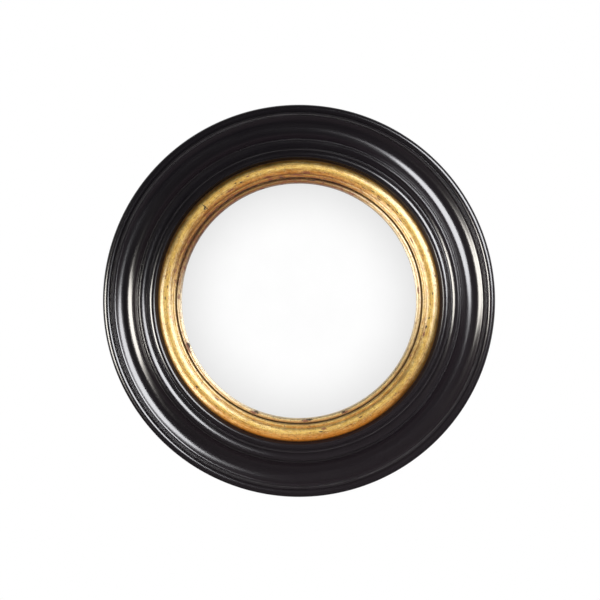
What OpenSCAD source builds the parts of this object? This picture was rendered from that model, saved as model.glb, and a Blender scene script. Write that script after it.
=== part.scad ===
// Round mirror: a turned black moulding with a gilt slip round a convex glass.
// Each section is drawn as radius against height above the wall, and turned about the mirror's axis.
// The finished pieces stand up: the front faces -Y, +Z is up and the wall is the plane Y = 0.

/* [Glass] */
// Diameter of the glass in sight
sight_d = 300; // [260:5:360]
// Thickness of the glass
glass_t = 3; // [2:0.5:5]
// Radius of the convex front of the glass
glass_bow_r = 1200; // [900:50:3000]
// How far the slip covers the rim of the glass
glass_cover = 5; // [3:0.5:8]
// Thickness of the foam tape between the slip and the glass
tape_t = 0.8; // [0.5:0.1:2]
// How far the foam tape stays back from the sight edge
tape_inset = 0.6; // [0.3:0.1:1.5]

/* [Gilt slip] */
// Width of the rounded lip at the sight edge
lip_w = 6.1; // [5.4:0.1:6.3]
// Radius of the rounded lip
lip_round = 3.3; // [3.2:0.1:5]
// Straight skirt under the rounded lip
lip_skirt = 0.4; // [0.2:0.1:2]
// Width of the groove behind the lip
groove_w = 1.4; // [1:0.1:3]
// Depth of the groove below the end of the lip's round
groove_depth = 0.9; // [0.5:0.1:1.6]
// Width of the small gilt bead
small_bead_w = 4.9; // [4.2:0.1:5.6]
// Distance from the inner end of the small gilt bead to its crest
small_bead_reach = 2.7; // [2:0.1:2.8]
// Radius of the small gilt bead
small_bead_round = 3; // [2.9:0.1:4]
// Width of the main gilt bead
gilt_bead_w = 17.6; // [15:0.2:20]
// Radius of the main gilt bead
gilt_bead_round = 12; // [10.8:0.2:14]
// Distance from the crest of the main gilt bead to its outer end
gilt_bead_reach = 10.3; // [8:0.1:10.6]
// Width of the flange that lies behind the frame
flange_w = 6.2; // [4:0.2:10]
// Front of that flange below the crest of the main gilt bead
flange_drop = 11.5; // [9:0.5:14]
// Crest of the main gilt bead below the highest bead of the frame
gilt_drop = 7.5; // [6:0.5:12]
// Crest of the small gilt bead below the crest of the main one
small_bead_drop = 1.6; // [1:0.1:3]
// Crest of the lip below the crest of the main gilt bead
lip_drop = 3.4; // [2.5:0.1:4.5]

/* [Frame moulding] */
// Depth of the mirror from the wall to its highest bead
frame_depth = 50; // [46:1:70]
// Width of the bevel that falls to the slip
bevel_w = 2.4; // [1.5:0.1:4]
// Height of the bevel that falls to the slip
bevel_h = 6.6; // [3:0.1:9]
// Width of the inner bead
inner_bead_w = 7.4; // [6:0.2:10]
// Rise of the inner bead above its ends
inner_bead_rise = 1.2; // [1:0.05:3]
// Crest of the inner bead below the highest bead
inner_bead_drop = 2; // [1:0.1:3]
// Width of the flat band between the two beads
band_w = 3.4; // [2:0.2:6]
// Level of the flat band below the highest bead
band_drop = 3.1; // [2.8:0.1:4]
// Width of the cut line beside a bead
quirk_w = 0.9; // [0.5:0.1:1.5]
// Depth of the cut line beside a bead
quirk_depth = 0.8; // [0.5:0.1:1.2]
// Width of the highest bead
high_bead_w = 8.25; // [7:0.05:9.5]
// Radius of the long inner slope of the highest bead
high_bead_round = 11; // [9:0.5:20]
// Radius of the outer edge of the highest bead
high_bead_edge = 1.4; // [0.8:0.1:2]
// Width of the shoulder at the inner end of the scoop
shoulder_w = 2.95; // [1.5:0.05:5]
// Level of the shoulder below the highest bead
shoulder_drop = 4.6; // [3:0.1:5.4]
// Width of the wide scoop
scoop_w = 30.4; // [26:0.2:31.8]
// Radius of the wide scoop
scoop_round = 17.4; // [16:0.1:24]
// Distance from the outer end of the scoop to its lowest line
scoop_offset = 14.6; // [13.2:0.1:17]
// Lowest line of the scoop below the highest bead
scoop_drop = 16; // [13:0.5:19]
// Width of each of the two narrow steps inside the rim
step_w = 1.6; // [1:0.1:3]
// Height of the step between them
step_h = 0.9; // [0.5:0.1:1.5]
// Lower of the two narrow steps below the highest bead
step_drop = 8.4; // [7.5:0.1:9.5]
// Radius of the bead on the outer rim
rim_round = 5.1; // [4.5:0.1:7]
// Distance from the crest of the rim bead to its inner end
rim_reach = 3.9; // [3:0.1:4.2]
// Crest of the rim bead below the highest bead
rim_drop = 5.5; // [4.5:0.1:6.5]

/* [Side and back] */
// How far the side stands in from the rim bead
side_inset = 3; // [2:0.5:5]
// Height of the rim bead that is left below its widest line
rim_under = 3.4; // [2:0.2:4.2]
// Radius of the hollow round the foot of the side
foot_round = 6; // [3:0.5:9]
// Height of the straight foot under that hollow
foot_h = 10; // [5:0.5:14]
// Thickness of the ring that stands the frame off the wall
rear_ring_t = 8; // [7.5:0.5:14]
// Width of that ring
rear_ring_w = 10.5; // [8:0.5:16]
// How far that ring stands in from the foot of the frame
rear_ring_inset = 0.5; // [0:0.1:3]
// Chamfer round the back of that ring
ring_chamfer = 1; // [0.5:0.1:3]
// Thickness of the back board
board_t = 4; // [3:0.5:6]
// Width of the card packing behind the glass
packing_w = 13; // [8:0.5:20]

/* [Turn buttons] */
// Number of turn buttons round the back board
button_count = 6; // [4:1:8]
// Length of a turn button
button_l = 28; // [24:1:32]
// Width of a turn button
button_w = 12; // [10:0.5:16]
// Thickness of a turn button
button_t = 1.2; // [0.8:0.1:2]
// Distance from the board's rebate to a turn button's screw
button_setback = 7.5; // [7:0.5:12]
// Radius of a turn button screw's shank
button_screw_r = 1.75; // [1.5:0.05:2.2]
// Length of a turn button screw under its head
button_screw_l = 16; // [12:1:20]

/* [Hanger] */
// Width of the hanger strap
strap_w = 9.5; // [8:0.5:10]
// Thickness of the hanger strap's steel
strap_t = 1; // [0.8:0.1:1.2]
// Distance from the board's rebate to the lower end of the strap
strap_setback = 1.5; // [1:0.5:3]
// Distance from the strap's lower end to its lower screw
strap_screw_in = 4.5; // [4:0.5:6]
// Distance between the strap's two screws
strap_screw_pitch = 9; // [8:0.5:10]
// Flat of the strap above the head of the upper screw
strap_flat = 0.6; // [0.2:0.1:1]
// Distance from the upper screw to the eye of the strap
strap_eye_up = 9; // [8.5:0.5:11]
// Radius of the hanger screws' shank
strap_screw_r = 1.5; // [1.3:0.05:1.8]
// Length of the hanger screws under their heads
strap_screw_l = 16; // [12:1:20]
// Radius of the hanging ring's wire
wire_r = 1.25; // [1:0.05:1.4]
// Play between each side of the strap and the hanging ring's bends
ring_side = 0.75; // [0.3:0.05:2]
// Length of the hanging ring's straight legs
ring_leg = 1.5; // [1:0.5:3]
// Radius of the bends at the hanging ring's bar, to the middle of its wire
ring_bend = 2.5; // [2:0.1:3]

/* [Screw heads] */
// Radius of a screw's head
head_r = 3.2; // [2.8:0.1:3.4]
// Height of a screw's head
head_h = 1.9; // [1.5:0.1:2.2]
// Height of the straight edge of a screw's head
head_edge = 0.7; // [0.3:0.1:1]
// Width of each arm of the cross in a screw's head
cross_w = 0.8; // [0.5:0.1:1]
// Length of each arm of the cross, from end to end
cross_l = 3.8; // [2.5:0.1:4.5]
// Depth of the cross in a screw's head
cross_depth = 1.1; // [0.6:0.1:1.2]
// Radius of the blunt tip of a screw
screw_tip_r = 0.2; // [0.1:0.05:0.4]

/* [Clearances] */
// Round the slip in the frame
slip_gap = 0.3; // [0.2:0.1:0.6]
// Round the back board in its rebate
board_gap = 0.5; // [0.3:0.1:1]
// Round the rim of the glass in its rebate
glass_gap = 0.9; // [0.5:0.1:0.9]
// Between a soft piece and the curve of the glass
soft_gap = 0.05; // [0.02:0.01:0.1]
// Round a shank or a bar that something turns on
run_gap = 0.08; // [0.04:0.01:0.1]
// Between a turn button and what it turns beside
turn_gap = 0.3; // [0.2:0.05:0.5]
// Between the leaning hanging ring and the frame
lean_gap = 0.25; // [0.2:0.05:0.4]
// Round a screw's shank in the wood
screw_gap = 0.05; // [0.02:0.01:0.1]
// Between a screw's tip and the bottom of its hole
tip_gap = 0.25; // [0.1:0.05:1]

/* [Hidden] */
// Facets of the turned sections and of the small round pieces
turn_fn = 180;
small_fn = 64;
bow_fn = 720;
// A thin overlap that lets two drawn shapes join
join = 0.5;

// Radii of the slip, from the sight edge outwards
sight_r = sight_d / 2;
glass_r = sight_r + glass_cover;
glass_seat_r = glass_r + glass_gap;
lip_centre_r = sight_r + lip_round;
lip_end_r = sight_r + lip_w;
small_bead_in_r = lip_end_r + groove_w;
small_bead_out_r = small_bead_in_r + small_bead_w;
small_bead_centre_r = small_bead_in_r + small_bead_reach;
slip_r = small_bead_out_r + gilt_bead_w;
gilt_centre_r = slip_r - gilt_bead_reach;
flange_r = slip_r + flange_w;

// Radii of the frame, from the slip outwards
opening_r = slip_r + slip_gap;
rebate_r = flange_r + slip_gap;
inner_bead_in_r = opening_r + bevel_w;
inner_bead_out_r = inner_bead_in_r + inner_bead_w;
band_in_r = inner_bead_out_r + quirk_w;
band_out_r = band_in_r + band_w;
high_bead_in_r = band_out_r + quirk_w;
high_bead_out_r = high_bead_in_r + high_bead_w;
high_bead_crest_r = high_bead_out_r - high_bead_edge;
scoop_in_r = high_bead_out_r + shoulder_w;
scoop_out_r = scoop_in_r + scoop_w;
scoop_centre_r = scoop_out_r - scoop_offset;
step_mid_r = scoop_out_r + step_w;
step_out_r = step_mid_r + step_w;
rim_in_r = step_out_r + quirk_w;
rim_centre_r = rim_in_r + rim_reach;
rim_r = rim_centre_r + rim_round;
side_r = rim_r - side_inset;
foot_r = side_r - foot_round;
rear_ring_r = foot_r - rear_ring_inset;

// Levels of the frame above the wall
back_z = rear_ring_t;
high_z = frame_depth;
inner_bead_z = high_z - inner_bead_drop;
band_z = high_z - band_drop;
root_z = band_z - quirk_depth;
bevel_z = root_z - bevel_h;
high_bead_edge_z = high_z - high_bead_edge;
shoulder_z = high_z - shoulder_drop;
scoop_z = high_z - scoop_drop;
step_z = high_z - step_drop;
rim_root_z = step_z + step_h - quirk_depth;
rim_z = high_z - rim_drop;
rim_centre_z = rim_z - rim_round;
rim_under_z = rim_centre_z - rim_under;
foot_z = back_z + foot_h;

// Levels of the slip and the glass above the wall
board_z = back_z + board_t;
gilt_z = high_z - gilt_drop;
gilt_centre_z = gilt_z - gilt_bead_round;
flange_z = gilt_z - flange_drop;
small_bead_centre_z = gilt_z - small_bead_drop - small_bead_round;
lip_centre_z = gilt_z - lip_drop - lip_round;
lip_end_z = lip_centre_z + sqrt(pow(lip_round, 2) - pow(lip_end_r - lip_centre_r, 2));
groove_z = lip_end_z - groove_depth;
lip_under_z = lip_centre_z - lip_skirt;
glass_edge_z = lip_under_z - tape_t;
bow_centre_z = glass_edge_z - sqrt(pow(glass_bow_r, 2) - pow(sight_r, 2));
glass_top_z = bow_centre_z + glass_bow_r;

// Places of the hardware on the back
button_r = rebate_r + button_setback;
button_plate_z = back_z - turn_gap - button_t;
button_seat_z = button_plate_z - turn_gap;
eye_r = wire_r + run_gap;
eye_z = back_z - strap_t - eye_r;
strap_low_y = rebate_r + strap_setback;
strap_screw_y = strap_low_y + strap_screw_in;
strap_fold_y = strap_screw_y + strap_screw_pitch + head_r + strap_flat;
strap_seat_z = back_z - 2 * strap_t;
eye_y = strap_screw_y + strap_screw_pitch + strap_eye_up;
ring_round = strap_w / 2 + ring_side + ring_bend;
ring_reach = ring_bend + ring_leg + ring_round;
ring_lean = asin((back_z - eye_z - wire_r - lean_gap) / ring_reach);

// Height of a disc's edge at a distance from the disc's centre
function disc_edge(radius, away) = sqrt(pow(radius, 2) - pow(away, 2));

// Radius of the arc over a width that rises by a height
function arc_radius(width, rise) = (pow(width / 2, 2) + pow(rise, 2)) / (2 * rise);

// Level of the glass at a radius, on its front or, with depth, behind it
function bow_level(at_r, depth = 0) = bow_centre_z + disc_edge(glass_bow_r - depth, at_r);

// Direction of a turn button, with 12 o'clock midway between two of them
function button_angle(i) = 90 + (i - 0.5) * 360 / button_count;

// Stands a piece up, from lying on its back to hanging on the wall
module hung() {
    rotate([90, 0, 0]) children();
}

// Turns a section about the mirror's axis
module turned() {
    rotate_extrude($fn = turn_fn) children();
}

// One turned round member: a disc's part between two radii and above a level
module round_member(centre_r, centre_z, radius, from_r, to_r, from_z) {
    turned() intersection() {
        translate([centre_r, centre_z]) circle(r = radius, $fn = turn_fn);
        translate([from_r, from_z]) square([to_r - from_r, centre_z + 2 * radius - from_z]);
    }
}

// A pan head screw that enters from behind, with its head's underside at the origin
module pan_screw(shank_r, length) {
    dome_r = arc_radius(2 * head_r, head_h - head_edge);
    tip_l = 2 * shank_r;
    difference() {
        union() {
            rotate_extrude($fn = small_fn) intersection() {
                translate([0, dome_r - head_h]) circle(r = dome_r, $fn = small_fn);
                translate([0, -head_h]) square([head_r, head_h]);
            }
            rotate_extrude($fn = small_fn) polygon([
                [0, -join], [shank_r, -join], [shank_r, length - tip_l], [screw_tip_r, length], [0, length]
            ]);
        }
        for (turn = [0, 90])
            rotate([0, 0, turn])
                translate([-cross_w / 2, -cross_l / 2, -head_h - join])
                    cube([cross_w, cross_l, cross_depth + join]);
    }
}

// The hole that a screw's shank leaves in the wood behind the seat at the origin
module screw_hole(shank_r, length) {
    translate([0, 0, -join]) cylinder(r = shank_r + screw_gap, h = join + length + tip_gap, $fn = small_fn);
}

// Places its children at each turn button's screw, with +Y outwards
module at_buttons() {
    for (i = [1 : button_count])
        at_button(i) children();
}

module at_button(i) {
    rotate([0, 0, button_angle(i) - 90]) translate([0, button_r, 0]) children();
}

// Places its children at the hanger's two screws
module at_strap_screws() {
    for (i = [0, 1])
        translate([0, strap_screw_y + i * strap_screw_pitch, 0]) children();
}

// The moulding with its flat members, before the scoop and the foot are hollowed out
module frame_blank() {
    inner_bead_round = arc_radius(inner_bead_w, inner_bead_rise);
    turned() polygon([
        [rebate_r, back_z], [rebate_r, flange_z], [opening_r, flange_z],
        [opening_r, bevel_z], [inner_bead_in_r, root_z],
        [band_in_r, root_z], [band_in_r, band_z],
        [band_out_r, band_z], [band_out_r, root_z], [high_bead_crest_r - join, root_z],
        [high_bead_crest_r - join, high_bead_edge_z], [high_bead_out_r, high_bead_edge_z],
        [high_bead_out_r, shoulder_z], [scoop_in_r, shoulder_z],
        [scoop_out_r, step_z], [step_mid_r, step_z],
        [step_mid_r, step_z + step_h], [step_out_r, step_z + step_h],
        [step_out_r, rim_root_z], [rim_in_r, rim_root_z], [rim_centre_r, rim_centre_z],
        [side_r, rim_centre_z], [side_r, back_z]
    ]);
    round_member(
        inner_bead_in_r + inner_bead_w / 2, inner_bead_z - inner_bead_round, inner_bead_round,
        inner_bead_in_r, inner_bead_out_r, root_z - join
    );
    round_member(
        high_bead_crest_r, high_z - high_bead_round, high_bead_round,
        high_bead_in_r, high_bead_crest_r, root_z - join
    );
    round_member(
        high_bead_crest_r, high_bead_edge_z, high_bead_edge,
        high_bead_crest_r, high_bead_out_r, high_bead_edge_z - join
    );
    round_member(rim_centre_r, rim_centre_z, rim_round, rim_in_r, rim_r + join, rim_under_z);
}

module frame_ring() {
    color([0.08, 0.07, 0.08]) hung() difference() {
        frame_blank();
        round_member(
            scoop_centre_r, scoop_z + scoop_round, scoop_round,
            scoop_in_r, scoop_out_r, scoop_z - join
        );
        turned() translate([side_r, foot_z]) circle(r = foot_round, $fn = turn_fn);
        turned() translate([foot_r, back_z - join]) square([foot_round + join, foot_h + join]);
        at_buttons() translate([0, 0, button_seat_z]) screw_hole(button_screw_r, button_screw_l);
        at_strap_screws() translate([0, 0, strap_seat_z]) screw_hole(strap_screw_r, strap_screw_l);
    }
}

module rear_ring() {
    color([0.14, 0.13, 0.13]) hung() turned() polygon([
        [rear_ring_r - rear_ring_w, 0], [rear_ring_r - ring_chamfer, 0], [rear_ring_r, ring_chamfer],
        [rear_ring_r, rear_ring_t], [rear_ring_r - rear_ring_w, rear_ring_t]
    ]);
}

module gilt_slip() {
    color([0.85, 0.67, 0.36]) hung() {
        turned() polygon([
            [glass_seat_r, board_z], [glass_seat_r, lip_under_z], [sight_r, lip_under_z],
            [sight_r, lip_centre_z], [lip_end_r, groove_z], [small_bead_in_r, groove_z],
            [small_bead_in_r, small_bead_centre_z], [small_bead_out_r, small_bead_centre_z],
            [slip_r, flange_z], [flange_r, flange_z], [flange_r, board_z]
        ]);
        round_member(lip_centre_r, lip_centre_z, lip_round, sight_r, lip_end_r, lip_centre_z - lip_skirt);
        round_member(
            small_bead_centre_r, small_bead_centre_z, small_bead_round,
            small_bead_in_r, small_bead_out_r, small_bead_centre_z - join
        );
        round_member(
            gilt_centre_r, gilt_centre_z, gilt_bead_round,
            small_bead_out_r, slip_r, gilt_centre_z - join
        );
    }
}

module glass_tape() {
    tape_in_r = sight_r + tape_inset;
    color([0.2, 0.2, 0.2]) hung() turned() polygon([
        [tape_in_r, lip_under_z], [tape_in_r, bow_level(tape_in_r) + soft_gap],
        [glass_r, bow_level(glass_r) + soft_gap], [glass_r, lip_under_z]
    ]);
}

module mirror_glass() {
    rim_z = bow_level(glass_r, glass_t);
    color([0.9, 0.92, 0.93]) hung() turned() intersection() {
        translate([0, bow_centre_z]) difference() {
            circle(r = glass_bow_r, $fn = bow_fn);
            circle(r = glass_bow_r - glass_t, $fn = bow_fn);
        }
        translate([0, rim_z - join]) square([glass_r, glass_top_z - rim_z + 2 * join]);
    }
}

module packing_ring() {
    packing_in_r = glass_r - packing_w;
    color([0.6, 0.45, 0.3]) hung() turned() polygon([
        [packing_in_r, board_z], [glass_r, board_z], [glass_r, bow_level(glass_r, glass_t) - soft_gap],
        [packing_in_r, bow_level(packing_in_r, glass_t) - soft_gap]
    ]);
}

module back_board() {
    color([0.45, 0.31, 0.2]) hung()
        translate([0, 0, back_z]) cylinder(r = rebate_r - board_gap, h = board_t, $fn = turn_fn);
}

// A flat turn button with a round end about its screw, pointing at the mirror's axis
module turn_button(i) {
    end_r = button_w / 2;
    reach = button_l - button_w;
    color([0.72, 0.72, 0.7]) hung() at_button(i) translate([0, 0, button_plate_z])
        linear_extrude(height = button_t) difference() {
            union() {
                circle(r = end_r, $fn = small_fn);
                translate([-end_r, -reach]) square([button_w, reach]);
                translate([0, -reach]) circle(r = end_r, $fn = small_fn);
            }
            circle(r = button_screw_r + run_gap, $fn = small_fn);
        }
}

module turn_button_screws() {
    color([0.8, 0.77, 0.66]) hung()
        at_buttons() translate([0, 0, button_seat_z]) pan_screw(button_screw_r, button_screw_l);
}

// The strap from its side: two layers under the screws, folded round the bar of the hanging ring
module strap_side() {
    fold = [strap_fold_y, back_z - 2 * strap_t];
    outer_r = eye_r + strap_t;
    away = norm([eye_y, eye_z] - fold);
    slope = atan2(eye_z - fold.y, eye_y - fold.x) - asin(outer_r / away);
    tip = fold + sqrt(pow(away, 2) - pow(outer_r, 2)) * [cos(slope), sin(slope)];
    skin = strap_t * [-sin(slope), cos(slope)];
    difference() {
        union() {
            translate([strap_low_y, back_z - strap_t]) square([eye_y - strap_low_y, strap_t]);
            translate([strap_low_y, fold.y]) square([strap_fold_y - strap_low_y, strap_t + join]);
            polygon([fold, tip, tip + skin, fold + skin, fold + [0, strap_t + join]]);
            translate([eye_y, eye_z]) circle(r = outer_r, $fn = small_fn);
        }
        translate([eye_y, eye_z]) circle(r = eye_r, $fn = small_fn);
    }
}

module hanger_strap() {
    end_r = strap_w / 2;
    full_l = eye_y - strap_low_y + eye_r + strap_t;
    color([0.75, 0.75, 0.72]) hung() difference() {
        intersection() {
            rotate([90, 0, 90]) translate([0, 0, -end_r])
                linear_extrude(height = strap_w) strap_side();
            linear_extrude(height = back_z + join) {
                translate([0, strap_low_y + end_r]) circle(r = end_r, $fn = small_fn);
                translate([-end_r, strap_low_y + end_r]) square([strap_w, full_l]);
            }
        }
        at_strap_screws() cylinder(r = strap_screw_r + screw_gap, h = back_z + join, $fn = small_fn);
    }
}

// Part of the hanging ring's bent wire, from the direction +X round to an angle
module wire_bend(bend_r, angle) {
    rotate_extrude(angle = angle, $fn = small_fn)
        translate([bend_r, 0]) circle(r = wire_r, $fn = small_fn);
}

module hanger_ring() {
    bar_half = ring_round - ring_bend;
    color([0.8, 0.8, 0.78]) hung() translate([0, eye_y, eye_z]) rotate([ring_lean, 0, 0]) {
        rotate([0, 90, 0]) cylinder(r = wire_r, h = 2 * bar_half, center = true, $fn = small_fn);
        for (side = [-1, 1]) {
            translate([side * bar_half, ring_bend, 0]) rotate([0, 0, side > 0 ? -90 : 180])
                wire_bend(ring_bend, 90);
            translate([side * ring_round, ring_bend, 0]) rotate([-90, 0, 0])
                cylinder(r = wire_r, h = ring_leg, $fn = small_fn);
        }
        translate([0, ring_bend + ring_leg, 0]) wire_bend(ring_round, 180);
    }
}

module hanger_screws() {
    color([0.8, 0.77, 0.66]) hung()
        at_strap_screws() translate([0, 0, strap_seat_z]) pan_screw(strap_screw_r, strap_screw_l);
}

frame_ring();
rear_ring();
gilt_slip();
glass_tape();
mirror_glass();
packing_ring();
back_board();
for (i = [1 : button_count])
    turn_button(i);
turn_button_screws();
hanger_strap();
hanger_ring();
hanger_screws();
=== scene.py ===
# %% [markdown]
# # A round convex mirror in a black and gilt frame
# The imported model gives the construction: a turned wooden moulding, a gilt slip inside it, a
# convex glass, and a board, turn buttons and a hanger behind. This lesson gives each piece its
# finished shape and its finish. Nearly every piece was made on a lathe, so most shapes here are
# a section that is turned about the mirror's axis.

# %% Load the frame
import bmesh
import bpy
import math
from mathutils import Matrix, Vector


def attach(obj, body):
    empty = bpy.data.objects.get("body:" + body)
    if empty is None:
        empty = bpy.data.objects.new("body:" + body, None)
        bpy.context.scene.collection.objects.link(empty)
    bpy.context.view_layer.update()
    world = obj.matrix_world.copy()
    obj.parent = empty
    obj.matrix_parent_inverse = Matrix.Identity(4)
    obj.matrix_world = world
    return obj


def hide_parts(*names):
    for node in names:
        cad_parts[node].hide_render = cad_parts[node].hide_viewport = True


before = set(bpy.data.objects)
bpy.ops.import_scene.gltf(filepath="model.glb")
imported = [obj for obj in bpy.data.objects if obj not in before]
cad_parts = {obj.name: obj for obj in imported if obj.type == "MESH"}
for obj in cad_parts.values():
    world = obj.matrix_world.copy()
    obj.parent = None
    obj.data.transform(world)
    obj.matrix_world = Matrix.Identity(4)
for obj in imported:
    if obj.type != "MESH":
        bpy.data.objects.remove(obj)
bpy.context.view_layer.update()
MM = 0.001
scene = bpy.context.scene
collection = scene.collection

# %% [markdown]
# ## The camera
# The mirror was photographed straight on with a long lens, so its rim is a true circle. A
# camera could be aimed by eye, but here the width of the picture at the rim is known, and the
# focal length follows from it and from the distance.

# %% Place the camera
CAMERA_DISTANCE = 4.0
PICTURE_WIDTH = 0.76496
RIM_LEVEL = 0.0384
CAMERA_RIGHT = 0.00124
CAMERA_UP = 0.00101

camera_data = bpy.data.cameras.new("camera")
camera_data.sensor_width = 36.0
camera_data.lens = camera_data.sensor_width * (CAMERA_DISTANCE - RIM_LEVEL) / PICTURE_WIDTH
camera = bpy.data.objects.new("camera", camera_data)
camera.location = (CAMERA_RIGHT, -CAMERA_DISTANCE, CAMERA_UP)
camera.rotation_euler = (math.radians(90), 0, 0)
collection.objects.link(camera)
scene.camera = camera
print("lens in mm:", round(camera_data.lens, 1))

# %% [markdown]
# ## Helpers for nodes
# Materials and Geometry Nodes are both trees of nodes. One helper adds a node and fills or
# links its inputs, and the others do a sum, ease a value, mix two colours or pick the largest
# value, so that each tree reads like a short list of steps.

# %% Node helpers
MIX_FIRST = 6
MIX_SECOND = 7
MIX_RESULT = 2


def fill(tree, node, inputs):
    """Fills the inputs of a node with values, or links them to sockets."""
    for key, value in inputs.items():
        if isinstance(value, bpy.types.NodeSocket):
            tree.links.new(value, node.inputs[key])
        else:
            node.inputs[key].default_value = value
    return node


def put(tree, kind, inputs=None, **settings):
    """Adds a node, applies its settings, and fills its inputs."""
    node = tree.nodes.new(kind)
    for name, value in settings.items():
        setattr(node, name, value)
    return fill(tree, node, inputs or {})


def calc(tree, operation, *values):
    """One sum on numbers or sockets, given by Blender's name for it."""
    return put(tree, "ShaderNodeMath", dict(enumerate(values)), operation=operation).outputs[0]


def ramp(tree, value, low, high, to_low=0.0, to_high=1.0):
    """Eases a value from to_low to to_high while it goes from low to high."""
    inputs = {"Value": value, "From Min": low, "From Max": high, "To Min": to_low, "To Max": to_high}
    return put(tree, "ShaderNodeMapRange", inputs, interpolation_type="SMOOTHSTEP").outputs[0]


def blend(tree, share, *pair):
    """Mixes two colours by a share from 0 to 1."""
    first, second = [c if isinstance(c, bpy.types.NodeSocket) else (*c, 1.0) for c in pair]
    inputs = {"Factor": share, MIX_FIRST: first, MIX_SECOND: second}
    return put(tree, "ShaderNodeMix", inputs, data_type="RGBA").outputs[MIX_RESULT]


def strongest(tree, values):
    """The largest of several values from 0 to 1, compared one after another."""
    most = 0.0
    for value in values:
        most = calc(tree, "MAXIMUM", most, value)
    return most


print("colours are mixed through sockets", MIX_FIRST, "and", MIX_SECOND)

# %% [markdown]
# A Geometry Nodes tree runs on a mesh as a modifier. The result could stay live, but a plain
# mesh is what can be hung on a body of the frame and exported, so each piece is turned into one.

# %% Geometry helpers
def new_tree(name, inputs):
    """Starts a Geometry Nodes tree with named inputs, and returns it with its end nodes."""
    tree = bpy.data.node_groups.new(name, "GeometryNodeTree")
    tree.interface.new_socket("Geometry", in_out="INPUT", socket_type="NodeSocketGeometry")
    for label, kind in inputs:
        tree.interface.new_socket(label, in_out="INPUT", socket_type="NodeSocket" + kind)
    tree.interface.new_socket("Geometry", in_out="OUTPUT", socket_type="NodeSocketGeometry")
    return tree, put(tree, "NodeGroupInput"), put(tree, "NodeGroupOutput")


def plain(piece):
    """Turns a piece with modifiers into a plain mesh object, and prints its size."""
    evaluated = piece.evaluated_get(bpy.context.evaluated_depsgraph_get())
    made = bpy.data.meshes.new_from_object(evaluated)
    made.name = piece.name
    piece.modifiers.clear()
    piece.data = made
    triangles = sum(len(face.vertices) - 2 for face in made.polygons)
    print(f"{piece.name}: {len(made.vertices)} points, {triangles} triangles")
    return piece


def run_tree(name, mesh, tree, values, finish=()):
    """Runs a tree on a mesh, then any finishing modifiers, and returns a plain mesh object."""
    piece = bpy.data.objects.new(name, mesh)
    collection.objects.link(piece)
    modifier = piece.modifiers.new(tree.name, "NODES")
    modifier.node_group = tree
    for item in tree.interface.items_tree:
        if item.item_type == "SOCKET" and item.in_out == "INPUT" and item.name in values:
            modifier[item.identifier] = values[item.name]
    for kind in finish:
        piece.modifiers.new(kind, kind)
    return plain(piece)


print("geometry helpers are ready")

# %% [markdown]
# ## Turning a section
# A lathe gives a ring the same section all the way round. Blender's Screw modifier could do
# that, but a Geometry Nodes tree can also soften each arris by its own radius, carry values
# from the section to the finish, and leave the small unevenness of hand work. The section is
# drawn as radius against height above the wall, and each point says how far its corner is
# rounded.

# %% The turning tree
WELD = 0.005
RELIEF_REST = 0.62


def build_turning_tree():
    """Sweeps a closed section round a circle, and stands the ring up to face the viewer."""
    tree, start, end = new_tree("turning", [
        ("Segments", "Int"), ("Path radius", "Float"), ("Arris steps", "Int"),
        ("Relief", "Float"), ("Relief size", "Float"), ("Seed", "Float"),
        ("Front material", "Material"), ("Back material", "Material"),
    ])
    softness = put(tree, "GeometryNodeInputNamedAttribute", {"Name": "soft_edge"}, data_type="FLOAT")
    section = put(tree, "GeometryNodeMeshToCurve", {"Mesh": start.outputs["Geometry"]})
    softened = put(tree, "GeometryNodeFilletCurve", {
        "Curve": section.outputs[0], "Count": start.outputs["Arris steps"],
        "Radius": softness.outputs[0], "Limit Radius": True,
    }, mode="POLY")
    path = put(tree, "GeometryNodeCurvePrimitiveCircle", {
        "Resolution": start.outputs["Segments"], "Radius": start.outputs["Path radius"],
    })
    swept = put(tree, "GeometryNodeCurveToMesh", {
        "Curve": path.outputs[0], "Profile Curve": softened.outputs[0],
    })
    hung = put(tree, "GeometryNodeTransform", {
        "Geometry": swept.outputs[0], "Rotation": (math.radians(-90), 0, 0),
    })
    merged = put(tree, "GeometryNodeMergeByDistance", {"Geometry": hung.outputs[0], "Distance": WELD * MM})

    place = put(tree, "GeometryNodeInputPosition")
    normal = put(tree, "GeometryNodeInputNormal")
    worked = put(tree, "GeometryNodeInputNamedAttribute", {"Name": "worked"}, data_type="FLOAT")
    noise = put(tree, "ShaderNodeTexNoise", {
        "Vector": place.outputs[0], "W": start.outputs["Seed"], "Detail": 3.0, "Roughness": 0.55,
        "Scale": calc(tree, "DIVIDE", 1.0, start.outputs["Relief size"]),
    }, noise_dimensions="4D")
    depth = calc(tree, "SUBTRACT", noise.outputs[0], RELIEF_REST)
    depth = calc(tree, "MULTIPLY", depth, start.outputs["Relief"])
    depth = calc(tree, "MULTIPLY", depth, worked.outputs[0])
    offset = put(tree, "ShaderNodeVectorMath", {0: normal.outputs[0], "Scale": depth}, operation="SCALE")
    moved = put(tree, "GeometryNodeSetPosition", {
        "Geometry": merged.outputs[0], "Offset": offset.outputs[0],
    })

    bare = put(tree, "GeometryNodeInputNamedAttribute", {"Name": "bare"}, data_type="FLOAT")
    is_bare = calc(tree, "GREATER_THAN", bare.outputs[0], 0.5)
    smooth = put(tree, "GeometryNodeSetShadeSmooth", {"Geometry": moved.outputs[0]})
    real = put(tree, "GeometryNodeRealizeInstances", {"Geometry": smooth.outputs[0]})
    front = put(tree, "GeometryNodeSetMaterial", {
        "Geometry": real.outputs[0], "Material": start.outputs["Front material"],
    })
    back = put(tree, "GeometryNodeSetMaterial", {
        "Geometry": front.outputs[0], "Selection": is_bare, "Material": start.outputs["Back material"],
    })
    fill(tree, end, {0: back.outputs[0]})
    return tree


turning = build_turning_tree()
print("turning tree:", len(turning.nodes), "nodes")

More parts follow.
